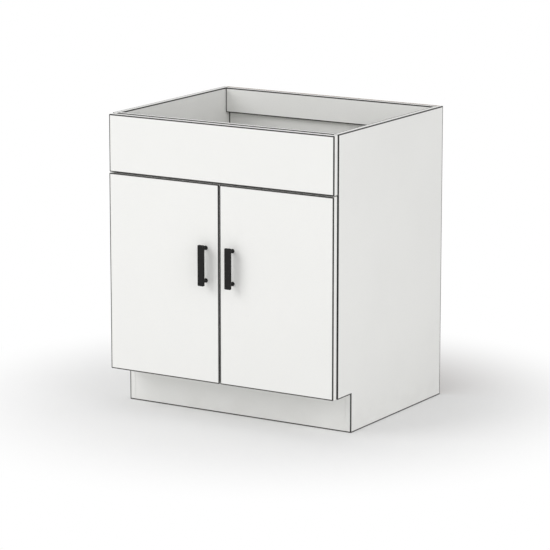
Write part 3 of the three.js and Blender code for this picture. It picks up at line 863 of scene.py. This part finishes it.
class CabinetStage(bpy.types.PropertyGroup):
    """Camera and light."""

    azimuth: number_property(
        "Azimuth", "Turn of the view to the right", math.radians(31.5), subtype="ANGLE"
    )
    elevation: number_property("Elevation", "Height of the view", math.radians(12.0), subtype="ANGLE")
    lens: number_property("Lens", "Focal length in millimetres", 200.0, unit="CAMERA")
    sky: number_property("Sky", "Strength of the even light", 0.62, min=0.0)
    key: number_property("Key", "Power of the main lamp", 82.0, unit="POWER")
    fill: number_property("Fill", "Power of the lamp on the right", 36.0, unit="POWER")
    floor_colour: colour_property("Floor", "Pale floor", (0.9, 0.9, 0.9))


# ---- The pieces ----


def make_front(node, body, settings, holes=(), handle_across=None):
    """A slab front: a plate between the front and back face of its node, with the hinge bores in its
    back."""
    low, high = corners(node)
    outline = rectangle(low[[0, 2]], high[[0, 2]], settings.sizes.front_corner)
    patches = moved(plate(outline, low[1], high[1], settings.sizes.front_edge, holes), facing("y"))
    finish = laminate(f"laminate_{node}", settings.colours, low, high, handle_across)
    make_piece(f"{node}_slab", patches, finish, body, [node])


class CABINET_OT_fronts(bpy.types.Operator):
    """Makes the two doors and the false front"""

    bl_idname = "cabinet.fronts"
    bl_label = "Fronts"

    def execute(self, context):
        settings = context.scene.cabinet
        make_front("false_front", "carcass", settings)
        for label, side in SIDES.items():
            across = side * (INNER_HALF_WIDTH - CUP_ACROSS)
            holes = [((across, hinge_height(label, end)), BORE_RADIUS, BORE_DEPTH) for end in ENDS]
            make_front(f"{label}_door", f"{label}_door_leaf", settings, holes, side * HANDLE_ACROSS)
        return {"FINISHED"}


class CABINET_OT_handles(bpy.types.Operator):
    """Makes the handles: a flat bar on two turned posts with flared feet"""

    bl_idname = "cabinet.handles"
    bl_label = "Handles"

    def execute(self, context):
        settings = context.scene.cabinet
        finish = powder_coat("powder_coat", settings.colours)
        for label in SIDES:
            node = f"{label}_handle"
            low, high = corners(node)
            outline = rectangle(low[[0, 2]], high[[0, 2]], settings.sizes.handle_corner)
            flat_bar = plate(outline, low[1], low[1] + BAR_THICKNESS, settings.sizes.handle_edge)
            patches = moved(flat_bar, facing("y"))
            post = handle_post(high[1] - low[1] - BAR_THICKNESS / 2)
            across, _, height = middle(node)
            for end in ENDS.values():
                foot = (across, high[1], height + end * POST_HALF_SPACING)
                patches += moved([post], facing("y", foot, -1))
            make_piece(f"{node}_pull", patches, finish, f"{label}_door_leaf", [node])
        return {"FINISHED"}


def handle_post(reach):
    """A post from its flared foot to inside the bar. The flare's radius falls as a cosine from the foot to
    the neck."""
    share = np.linspace(0, 1, FLARE_STEPS)
    flare = POST_RADIUS + (POST_FOOT - POST_RADIUS) * (1 + np.cos(np.pi * share)) / 2
    rise = POST_FOOT_HEIGHT + POST_FLARE * share
    foot = [(0, 0), (POST_FOOT - POST_FOOT_EDGE, 0), (POST_FOOT, POST_FOOT_EDGE)]
    return lathe([*foot, *zip(flare, rise), (POST_RADIUS, reach), (0, reach)], POST_SIDES)


class CABINET_OT_box(bpy.types.Operator):
    """Gives the boards of the box their melamine"""

    bl_idname = "cabinet.box"
    bl_label = "Box"

    def execute(self, context):
        colours = context.scene.cabinet.colours
        notch = (KICK_FRONT, KICK_HEIGHT)
        foot = (2, 0.0)
        for label in SIDES:
            node = f"{label}_side_panel"
            low, high = corners(node)
            bare = (foot, (1, high[1]))
            dress(node, melamine(f"melamine_{node}", colours, low, high, 0, notch, bare))
        for node, thickness_axis in (("bottom_panel", 2), ("front_rail", 1), ("back_rail", 1)):
            low, high = corners(node)
            # Only the dowels of these boards reach past the inner faces of the side panels.
            low[0] = -INNER_HALF_WIDTH
            high[0] = INNER_HALF_WIDTH
            dress(node, melamine(f"melamine_{node}", colours, low, high, thickness_axis))
        low, high = corners("toe_kick")
        kick = melamine("melamine_toe_kick", colours, low, high, 1, bare=(foot,), ends=False)
        dress("toe_kick", kick)
        return {"FINISHED"}


class CABINET_OT_back(bpy.types.Operator):
    """Finishes the back panel and drives its staples"""

    bl_idname = "cabinet.back"
    bl_label = "Back"

    def execute(self, context):
        settings = context.scene.cabinet
        zinc = settings.colours.zinc_colour
        (left, inside, bottom), (right, outside, top) = corners("back_panel")
        dress("back_panel", hardboard("hardboard", settings.colours, float(inside)))
        rows = settings.sizes.staple_rows
        up = np.linspace(bottom + STAPLE_ROW_MARGIN, top - STAPLE_ROW_MARGIN, rows)
        across = np.linspace(left + STAPLE_LEVEL_MARGIN, right - STAPLE_LEVEL_MARGIN, rows - 1)
        sides = (left + STAPLES_FROM_SIDE, right - STAPLES_FROM_SIDE)
        levels = (bottom + STAPLES_FROM_BOTTOM, top - STAPLES_FROM_TOP)
        patches = staples([(x, z) for x in sides for z in up], outside, upright=True)
        patches += staples([(x, z) for z in levels for x in across], outside, upright=False)
        finish = plated("staple_wire", zinc, 0.34, shade(zinc, 0.9))
        make_piece("back_panel_staples", patches, finish, "carcass")
        return {"FINISHED"}


def staples(places, surface, upright):
    """Crowns of staples on the back: each is a six-sided wire along its length, whose ends dip into the
    board as the fourth power of the way from its middle."""
    share = np.linspace(-1, 1, STAPLE_STEPS)[:, None]
    turn = np.linspace(0, 2 * np.pi, STAPLE_SIDES, endpoint=False)[None, :]
    length = STAPLE_HALF_LENGTH * share + 0 * turn
    width = STAPLE_HALF_WIDTH * np.cos(turn) + 0 * share
    height = STAPLE_HALF_HEIGHT * np.sin(turn) + STAPLE_LIFT - STAPLE_DIP * share**4
    along, sideways = (width, length) if upright else (length, width)
    patches = []
    for x, z in places:
        rings = np.stack([x + along, surface + height, z + sideways], axis=-1)
        patches += [tube(rings), filled([rings[0]]), filled([rings[-1]])]
    return patches


def hinge_height(label, end):
    """Height of the middle of a hinge."""
    return float(middle(f"{label}_{end}_hinge_plate")[2])


def hinges():
    """Every hinge as its name, its side's label and a function that lays its points on the frame."""
    for label, side in SIDES.items():
        for end in ENDS:
            yield f"{label}_{end}_hinge", label, hinge_place(side, hinge_height(label, end))


class CABINET_OT_hinge_cups(bpy.types.Operator):
    """Makes the hinge cups: a drawn bucket with its flange, and two pins"""

    bl_idname = "cabinet.hinge_cups"
    bl_label = "Hinge cups"

    def execute(self, context):
        finish = nickel("cup", context.scene.cabinet.colours, 1, 0.24, 0.92)
        cup = moved([cup_bucket()], lambda points: points[:, [0, 2, 1]])
        cup += pins([OUTER_CUP_PIVOT, INNER_CUP_PIVOT], cup_pin_reach)
        for name, label, place in hinges():
            body = f"{label}_door_leaf"
            patches = moved(cup, place)
            make_piece(f"{name}_cup_bucket", patches, finish, body, [f"{name}_cup"])
        return {"FINISHED"}


def flange_radius(turn):
    """Radius of the flange in each direction: the far edge of a circle joined to a bar with round corners,
    found on a row of steps along each ray."""
    steps = np.linspace(CUP_RADIUS, FLANGE_REACH, FLANGE_STEPS)[None, :]
    x = steps * np.cos(turn[:, None]) - FLANGE_WING_MIDDLE
    z = steps * np.sin(turn[:, None])
    qx = np.maximum(abs(x) - FLANGE_WING_HALF_WIDTH + FLANGE_WING_CORNER, 0)
    qz = np.maximum(abs(z) - FLANGE_WING_HALF_LENGTH + FLANGE_WING_CORNER, 0)
    inside = (np.hypot(qx, qz) < FLANGE_WING_CORNER) | (steps < FLANGE_RADIUS)
    return (steps * inside).max(axis=1)


def cup_bucket():
    """The cup as one grid of turns and steps: up the outside, out along the flange's underside, round its
    edge, back over its top and down the inside. In the two gates, where the links come out, the steps above
    the gate's floor lie evenly across the wall at that floor instead. Round each screw the flange's top is
    dished as exp(-(d / reach)^2) with the distance d from the screw."""
    turn = np.linspace(0, 2 * np.pi, CUP_SIDES, endpoint=False)
    under, over = SEAT - DOOR_GAP, SEAT - DOOR_GAP + FLANGE_THICKNESS
    bottom = -DOOR_GAP - CUP_DEPTH
    floor = bottom + CUP_FLOOR
    inner = CUP_RADIUS - CUP_WALL
    foot = quarter((CUP_RADIUS - CUP_CORNER, bottom + CUP_CORNER), CUP_CORNER, -90)
    neck = [(CUP_RADIUS, CUP_RING), (CUP_RADIUS, under - FLANGE_NECK), (CUP_RADIUS, under)]
    outside = [(0, bottom), *foot, *neck]
    mouth = [(inner + CUP_LIP, over), (inner, over - CUP_LIP), (inner, over - 3 * CUP_LIP)]
    corner = quarter((inner - CUP_CORNER, floor + CUP_CORNER), CUP_CORNER, -90)
    inside = [*mouth, (inner, CUP_RING), *corner[::-1], (0, floor)]
    # Each step round the flange: its share of the way out, how far it is drawn in, and its height.
    rim = [
        (0.5, 0, under),
        (1, FLANGE_EDGE, under),
        (1, 0, under + FLANGE_EDGE),
        (1, 0, over - FLANGE_EDGE),
        (1, FLANGE_EDGE, over),
        (0.5, 0, over),
    ]
    reach = flange_radius(turn)
    flange = [CUP_RADIUS + (reach - CUP_RADIUS) * share - drawn for share, drawn, _ in rim]
    walls = [[np.full(len(turn), radius) for radius, _ in profile] for profile in (outside, inside)]
    radius = np.stack(walls[0] + flange + walls[1], axis=1)
    level = np.array([step[-1] for step in outside + rim + inside])
    height = np.tile(level, (len(turn), 1))
    aside = abs(np.sin(turn)) * CUP_RADIUS
    link_gate = (np.cos(turn) < 0) & (aside < LINK_GATE_HALF)
    inner_gate = (np.cos(turn) > 0) & (aside < INNER_GATE_HALF)
    for gate, gate_floor in ((link_gate, -DOOR_GAP - SEAT), (inner_gate, under - DOOR_GAP)):
        raised = level > gate_floor - LEVEL_SLACK
        radius[np.ix_(gate, raised)] = np.linspace(CUP_RADIUS, inner, raised.sum())
        height[np.ix_(gate, raised)] = gate_floor
    x = CUP_ACROSS + radius * np.cos(turn)[:, None]
    z = radius * np.sin(turn)[:, None]
    from_screw = (x - CUP_ACROSS - FLANGE_WING_MIDDLE) ** 2 + (abs(z) - CUP_SCREW_HALF_SPACING) ** 2
    dish = DISH_DEPTH * np.exp(-from_screw / DISH_REACH**2)
    height = height - dish * (height > over - LEVEL_SLACK)
    return grid(np.stack([x, z, height], axis=-1), wrap=True)


def cup_pin_reach(pivot):
    """Half the length of a pin across the cup."""
    aside = CUP_ACROSS - pivot[0] + PIN_RADIUS
    return math.sqrt((CUP_RADIUS - PIN_SINK) ** 2 - aside**2)


def pins(pivots, reach, head=0.0):
    """Round pins along z at each pivot, with a chamfer at their ends or low rivet heads."""
    patches = []
    rim = PIN_RADIUS * (RIVET_SPREAD if head else 1)
    for pivot in pivots:
        half = reach(pivot)
        crown = [(0, half + head), (PIN_RADIUS * RIVET_TOP, half + head * RIVET_TOP)]
        profile = [*crown, (rim, half), (PIN_RADIUS, half - PIN_CHAMFER)]
        profile += [(radius, -height) for radius, height in profile[::-1]]
        patches += moved([lathe(profile, PIN_SIDES)], facing("z", (*pivot, 0)))
    return patches


class CABINET_OT_hinge_arms(bpy.types.Operator):
    """Makes the hinge arms: a bent channel with a nose, two pins and two adjusting screws"""

    bl_idname = "cabinet.hinge_arms"
    bl_label = "Hinge arms"

    def execute(self, context):
        finish = nickel("arm", context.scene.cabinet.colours, 1, 0.27, 0.9)
        arm = arm_channel() + arm_screws()
        arm += pins([OUTER_ARM_PIVOT, INNER_ARM_PIVOT], lambda pivot: ARM_HALF_WIDTH, RIVET_HEIGHT)
        for name, _, place in hinges():
            node = f"{name}_arm"
            patches = moved(arm, place)
            make_piece(f"{node}_channel", patches, finish, "carcass", [node])
        return {"FINISHED"}


def arm_channel():
    """Two walls with softened outlines, joined along their back part by a bent web. The web's profile is an
    outer bend and the same bend drawn in by the wall's thickness."""
    shoulder = ARM_HEIGHT - ARM_BEND
    web_front = ARM_FRONT + ARM_WEB_SETBACK
    nose = np.array([-NOSE_RADIUS, -NOSE_RADIUS])
    # Each corner of a wall, with the reach of its softening.
    wall = np.array([
        (ARM_UNDERSIDE, ARM_BACK, 1.5 * MM),
        (ARM_UNDERSIDE, ARM_FRONT + ARM_HEEL, 3 * MM),
        (*OUTER_ARM_PIVOT + nose, 4 * MM),
        (*INNER_ARM_PIVOT + nose, 1.8 * MM),
        (*INNER_ARM_PIVOT + nose * (-1, 1), 1.8 * MM),
        (*OUTER_ARM_PIVOT - nose + (NOSE_RISE, 0), 2 * MM),
        (ARM_HEIGHT, ARM_FRONT + ARM_SHOULDER, 0.8 * MM),
        (shoulder, web_front, 0.8 * MM),
        (shoulder, ARM_BACK, 1 * MM),
    ])
    outline = softened(wall[:, :2], wall[:, 2])
    patches = []
    for low in (ARM_BEND_STEP - ARM_HALF_WIDTH, ARM_HALF_WIDTH - ARM_WALL - ARM_BEND_STEP):
        patches += plate(outline, low, low + ARM_WALL, ARM_EDGE)
    bend = (shoulder, ARM_HALF_WIDTH - ARM_BEND)
    flank = shoulder - ARM_FLANK
    outer = [*quarter(bend, ARM_BEND, 0), (flank, ARM_HALF_WIDTH)]
    inner = [*quarter(bend, ARM_BEND - ARM_WALL, 0), (flank, ARM_HALF_WIDTH - ARM_WALL)]
    outside = [(x, -z) for x, z in outer[::-1]] + outer
    inside = inner[::-1] + [(x, -z) for x, z in inner]
    web = bar(outside + inside, web_front - ARM_WEB_LAP, ARM_BACK)
    return patches + moved(web, lambda points: points[:, [0, 2, 1]])


def arm_screws():
    """The two adjusting screws on the arm, each a cross-recessed head on its web."""
    shape = (ARM_SCREW_RADIUS, ARM_SCREW_HEIGHT, ARM_SCREW_SHANK, ARM_SCREW_LENGTH, ARM_SCREW_PITCH)
    patches = []
    for back in ARM_SCREWS:
        patches += moved(screw(*shape), facing("x", (ARM_HEIGHT, back, 0)))
    return patches


class CABINET_OT_hinge_plates(bpy.types.Operator):
    """Makes the cast mounting plates: two wings and the rib under the arm"""

    bl_idname = "cabinet.hinge_plates"
    bl_label = "Hinge plates"

    def execute(self, context):
        finish = nickel("plate", context.scene.cabinet.colours, 0.92, 0.36, 0.8)
        front, back = PLATE_SETBACK - PLATE_HALF_WIDTH, PLATE_SETBACK + PLATE_HALF_WIDTH
        wing = rectangle((front, -PLATE_HALF_LENGTH), (back, PLATE_HALF_LENGTH), PLATE_CORNER)
        rib = rectangle((RIB_FRONT, -RIB_HALF_WIDTH), (RIB_BACK, RIB_HALF_WIDTH), RIB_CORNER)
        casting = plate(wing, SEAT, SEAT + PLATE_THICKNESS, PLATE_EDGE)
        casting = moved(casting + plate(rib, SEAT, RIB_TOP, RIB_EDGE), facing("x"))
        for name, _, place in hinges():
            node = f"{name}_plate"
            patches = moved(casting, place)
            make_piece(f"{node}_casting", patches, finish, "carcass", [node])
        return {"FINISHED"}


class CABINET_OT_hinge_links(bpy.types.Operator):
    """Makes the outer links and finishes the inner ones"""

    bl_idname = "cabinet.hinge_links"
    bl_label = "Hinge links"

    def execute(self, context):
        finish = nickel("link", context.scene.cabinet.colours, 0.95, 0.3, 0.82)
        for name, label, place in hinges():
            node = f"{name}_outer_link"
            patches = moved(yoke(), place)
            make_piece(f"{node}_yoke", patches, finish, f"{label}_outer_links", [node])
            dress(f"{name}_inner_link", finish)
        return {"FINISHED"}


def link_outline(start, knee, end):
    """A bent bar with a round eye at each end. At the distance s from an eye's middle the half width is the
    larger of the bar's and sqrt(eye^2 - s^2), and the sideways direction turns over smoothly at the
    knee."""
    first, second = knee - start, end - knee
    reach = [np.linalg.norm(first), np.linalg.norm(second)]
    length = sum(reach)
    cap = LINK_EYE * (1 - np.cos(np.linspace(0, np.pi / 2, LINK_EYE_STEPS)))
    between = np.linspace(0, length, LINK_STEPS)[1:-1]
    s = np.r_[cap - LINK_EYE, between, (length + LINK_EYE - cap)[::-1]]
    ways = [first / reach[0], second / reach[1]]
    centre = start + np.minimum(s, reach[0])[:, None] * ways[0]
    centre += np.maximum(s - reach[0], 0)[:, None] * ways[1]
    turned = np.clip((s - reach[0]) / (2 * LINK_EYE) + 0.5, 0, 1)[:, None]
    along = ways[0] * (1 - turned) + ways[1] * turned
    along /= np.linalg.norm(along, axis=1)[:, None]
    from_eye = np.minimum(abs(s), abs(s - length))
    eye = np.sqrt(np.maximum(LINK_EYE**2 - from_eye**2, 0))
    straight = np.where((s > 0) & (s < length), LINK_HALF_THICKNESS, 0)
    offset = np.c_[-along[:, 1], along[:, 0]] * np.maximum(eye, straight)[:, None]
    return np.concatenate([centre + offset, (centre - offset)[-2:0:-1]])


def yoke():
    """Two bent plates with an eye round each pin, and a web between them."""
    outline = link_outline(OUTER_CUP_PIVOT, OUTER_KNEE, OUTER_ARM_PIVOT)
    holes = [(pivot, PIN_RADIUS + SEAT, None) for pivot in (OUTER_CUP_PIVOT, OUTER_ARM_PIVOT)]
    patches = []
    for low in (-OUTER_LINK_HALF_WIDTH, OUTER_LINK_HALF_WIDTH - LINK_PLATE):
        patches += plate(outline, low, low + LINK_PLATE, LINK_EDGE, holes)
    way = OUTER_ARM_PIVOT - OUTER_KNEE
    start, end = (OUTER_KNEE + way * share for share in LINK_WEB_SPAN)
    aside = np.array([-way[1], way[0]]) / np.linalg.norm(way) * LINK_WEB_HALF_THICKNESS
    web = softened([start + aside, start - aside, end - aside, end + aside], LINK_WEB_CORNER)
    half = OUTER_LINK_HALF_WIDTH - LINK_PLATE / 2
    return patches + plate(web, -half, half, LINK_WEB_EDGE)


class CABINET_OT_screws(bpy.types.Operator):
    """Makes every screw, with its thread and cross recess"""

    bl_idname = "cabinet.screws"
    bl_label = "Screws"

    def execute(self, context):
        settings = context.scene.cabinet
        finish = plated("zinc", settings.colours.zinc_colour, 0.3, ZINC_SHEEN)
        for body, nodes in frame["record"]["behaviour"]["bodies"].items():
            for node in (n for n in nodes if "screw" in n):
                patches = screw_on(node, settings.sizes.thread_pitch)
                make_piece(f"{node}_threaded", patches, finish, body, [node])
        return {"FINISHED"}


def screw_on(node, pitch):
    """A screw in the box of its node. A plate screw points into the side panel, and every other one
    forwards."""
    low, high = corners(node)
    size = high - low
    axis = int(np.argmax(size))
    origin = middle(node)
    outwards = -1 if axis == 0 and origin[0] > 0 else 1
    origin[axis] = high[axis] - HEAD_HEIGHT if outwards > 0 else low[axis] + HEAD_HEIGHT
    shank_radius = next(radius for kind, radius in SHANK_RADII if kind in node)
    patches = screw(size[2] / 2, HEAD_HEIGHT, shank_radius, size[axis] - HEAD_HEIGHT, pitch)
    return moved(patches, facing("xyz"[axis], origin, outwards))


class CABINET_OT_bumpers(bpy.types.Operator):
    """Makes the soft bumpers on the backs of the doors"""

    bl_idname = "cabinet.bumpers"
    bl_label = "Bumpers"

    def execute(self, context):
        finish = soft_plastic("soft_plastic", context.scene.cabinet.colours)
        for label in SIDES:
            body = f"{label}_door_leaf"
            for node in (f"{label}_bumper_{end}" for end in ENDS):
                make_piece(f"{node}_dome", dome_on(node), finish, body, [node])
        return {"FINISHED"}


def dome_on(node):
    """A dome in the box of its node, on a door's back. Its height is h (1 - (r/R)^3.2)^0.5."""
    low, high = corners(node)
    across, _, up = middle(node)
    radius, height = (high[2] - low[2]) / 2, high[1] - low[1]
    share = np.linspace(1, 0, BUMPER_STEPS)
    profile = [(0, 0), *zip(radius * share, height * (1 - share**DOME_POWER) ** 0.5)]
    return moved([lathe(profile, BUMPER_SIDES)], facing("y", (across, low[1], up)))


# ---- Stage ----

FRAME_SIDE = 550
PHOTO_LEFT, PHOTO_RIGHT = 90, 462
PHOTO_TOP, PHOTO_BOTTOM = 105, 420
SENSOR = 36.0
FIRST_DISTANCE = 3.0
CAMERA_ROUNDS = 12
KEY_PLACE, KEY_SIDE = (-2.6, -3.4, 3.0), 3.0
FILL_PLACE, FILL_SIDE = (3.6, -1.4, 1.8), 2.4
LAMP_AIM = (0, 0, 0.4)
FLOOR_HALF_SIDE = 30
FLOOR_LINES = 25
FLOOR_SINK = 0.05 * MM
FADE_START, FADE_END = 0.42, 1.1


def camera_place(azimuth, elevation, lens):
    """Place of the camera and its direction from the cabinet. It looks along its own line of sight with no
    shift, and stands so far away and so far aside that the cabinet's drawn box has the same mean size and
    the same middle as in the photograph."""
    back = np.array([
        math.sin(azimuth) * math.cos(elevation),
        -math.cos(azimuth) * math.cos(elevation),
        math.sin(elevation),
    ])
    right = np.array([math.cos(azimuth), math.sin(azimuth), 0.0])
    up = np.cross(back, right)
    ends = np.array([corners(node) for node in frame["nodes"]])
    picks = [(i, j, k) for i in (0, 1) for j in (0, 1) for k in (0, 1)]
    points = np.concatenate([ends[:, pick, (0, 1, 2)] for pick in picks])
    pixels = lens / SENSOR * FRAME_SIDE
    target = points.mean(axis=0)
    distance = FIRST_DISTANCE
    wanted_size = (PHOTO_RIGHT - PHOTO_LEFT + PHOTO_BOTTOM - PHOTO_TOP) / 2
    wanted = np.array([PHOTO_LEFT + PHOTO_RIGHT, PHOTO_TOP + PHOTO_BOTTOM]) / 2 - FRAME_SIDE / 2
    for _ in range(CAMERA_ROUNDS):
        rays = points - (target + back * distance)
        depth = -rays @ back
        drawn = np.c_[rays @ right / depth, -rays @ up / depth] * pixels
        low, high = drawn.min(axis=0), drawn.max(axis=0)
        off = (low + high) / 2 - wanted
        target = target + (right * off[0] - up * off[1]) * distance / pixels
        distance *= (high - low).mean() / wanted_size
    return target + back * distance, back


class CABINET_OT_stage(bpy.types.Operator):
    """Sets the floor, the light and the camera"""

    bl_idname = "cabinet.stage"
    bl_label = "Stage"

    def execute(self, context):
        stage = context.scene.cabinet.stage
        set_floor(stage)
        set_sky(stage)
        lamp("key_lamp", KEY_PLACE, KEY_SIDE, stage.key)
        lamp("fill_lamp", FILL_PLACE, FILL_SIDE, stage.fill)
        place, back = camera_place(stage.azimuth, stage.elevation, stage.lens)
        camera = bpy.data.cameras.new("camera")
        camera.lens = stage.lens
        camera.sensor_width = SENSOR
        view = add_object("camera", camera)
        view.location = place
        view.rotation_euler = Vector(-back).to_track_quat("-Z", "Y").to_euler()
        context.scene.camera = view
        context.scene.view_settings.view_transform = "Standard"
        return {"FINISHED"}


def lamp(name, place, side, power):
    """A square soft lamp that looks at the cabinet's middle."""
    light = bpy.data.lights.new(name, "AREA")
    light.shape = "SQUARE"
    light.size = side
    light.energy = power
    item = add_object(name, light)
    item.location = place
    item.rotation_euler = (Vector(LAMP_AIM) - Vector(place)).to_track_quat("-Z", "Y").to_euler()


def set_floor(stage):
    """A large flat floor with a faint grain. Seen from afar it fades into the white background, but keeps
    the shadow round the cabinet."""
    finish = Finish("floor")
    grain = finish.noise(60.0, 4.0)
    tone = finish.mix(grain * 0.3, stage.floor_colour, shade(stage.floor_colour, 0.985))
    matt = finish.node("ShaderNodeBsdfDiffuse", inputs={"Color": tone})
    white = finish.node("ShaderNodeEmission", inputs={"Color": solid(WHITE), "Strength": 1.0})
    away = (finish.across**2 + finish.back**2) ** 0.5
    share = away.rise(FADE_START, FADE_END) * finish.backdrop()
    blend = finish.node("ShaderNodeMixShader", inputs={0: share, 1: matt, 2: white})
    finish.node("ShaderNodeOutputMaterial", inputs={"Surface": blend})
    lines = np.linspace(-FLOOR_HALF_SIDE, FLOOR_HALF_SIDE, FLOOR_LINES)
    x, y = np.meshgrid(lines, lines, indexing="ij")
    points, faces = grid(np.stack([x, y, np.full_like(x, -FLOOR_SINK)], axis=-1))
    mesh = bpy.data.meshes.new("floor")
    mesh.from_pydata(points.tolist(), [], faces.tolist())
    mesh.materials.append(finish.material)
    floor = add_object("floor", mesh)


def set_sky(stage):
    """Even light from all round. A camera, glossy or transmission ray sees plain white."""
    world = bpy.data.worlds.new("sky")
    sky = Nodes(world)
    light, white = (
        sky.node("ShaderNodeBackground", inputs={"Color": solid(WHITE), "Strength": strength})
        for strength in (stage.sky, 1.0)
    )
    blend = sky.node("ShaderNodeMixShader", inputs={0: sky.backdrop(), 1: light, 2: white})
    sky.node("ShaderNodeOutputWorld", inputs={"Surface": blend})
    bpy.context.scene.world = world


# ---- Add-on ----


class CabinetSettings(bpy.types.PropertyGroup):
    """All settings of the cabinet."""

    colours: PointerProperty(type=CabinetColours)
    sizes: PointerProperty(type=CabinetSizes)
    stage: PointerProperty(type=CabinetStage)


OPERATORS = (
    CABINET_OT_fronts,
    CABINET_OT_handles,
    CABINET_OT_box,
    CABINET_OT_back,
    CABINET_OT_hinge_cups,
    CABINET_OT_hinge_arms,
    CABINET_OT_hinge_plates,
    CABINET_OT_hinge_links,
    CABINET_OT_screws,
    CABINET_OT_bumpers,
    CABINET_OT_stage,
)


class CABINET_PT_pieces(bpy.types.Panel):
    """Lists the settings and the pieces of the cabinet"""

    bl_label = "Sink base cabinet"
    bl_space_type = "VIEW_3D"
    bl_region_type = "UI"
    bl_category = "Cabinet"

    def draw(self, context):
        settings = context.scene.cabinet
        for group in (settings.colours, settings.sizes, settings.stage):
            box = self.layout.box()
            for name in group.__annotations__:
                box.prop(group, name)
        for operator in OPERATORS:
            self.layout.operator(operator.bl_idname)


CLASSES = (CabinetColours, CabinetSizes, CabinetStage, CabinetSettings, *OPERATORS, CABINET_PT_pieces)


def register():
    for item in CLASSES:
        bpy.utils.register_class(item)
    bpy.types.Scene.cabinet = PointerProperty(type=CabinetSettings)


def unregister():
    del bpy.types.Scene.cabinet
    for item in reversed(CLASSES):
        bpy.utils.unregister_class(item)


def main():
    """Makes every piece."""
    register()
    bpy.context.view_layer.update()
    for operator in OPERATORS:
        group, name = operator.bl_idname.split(".")
        getattr(getattr(bpy.ops, group), name)()
    bpy.context.view_layer.update()


if __name__ == "__main__":
    main()
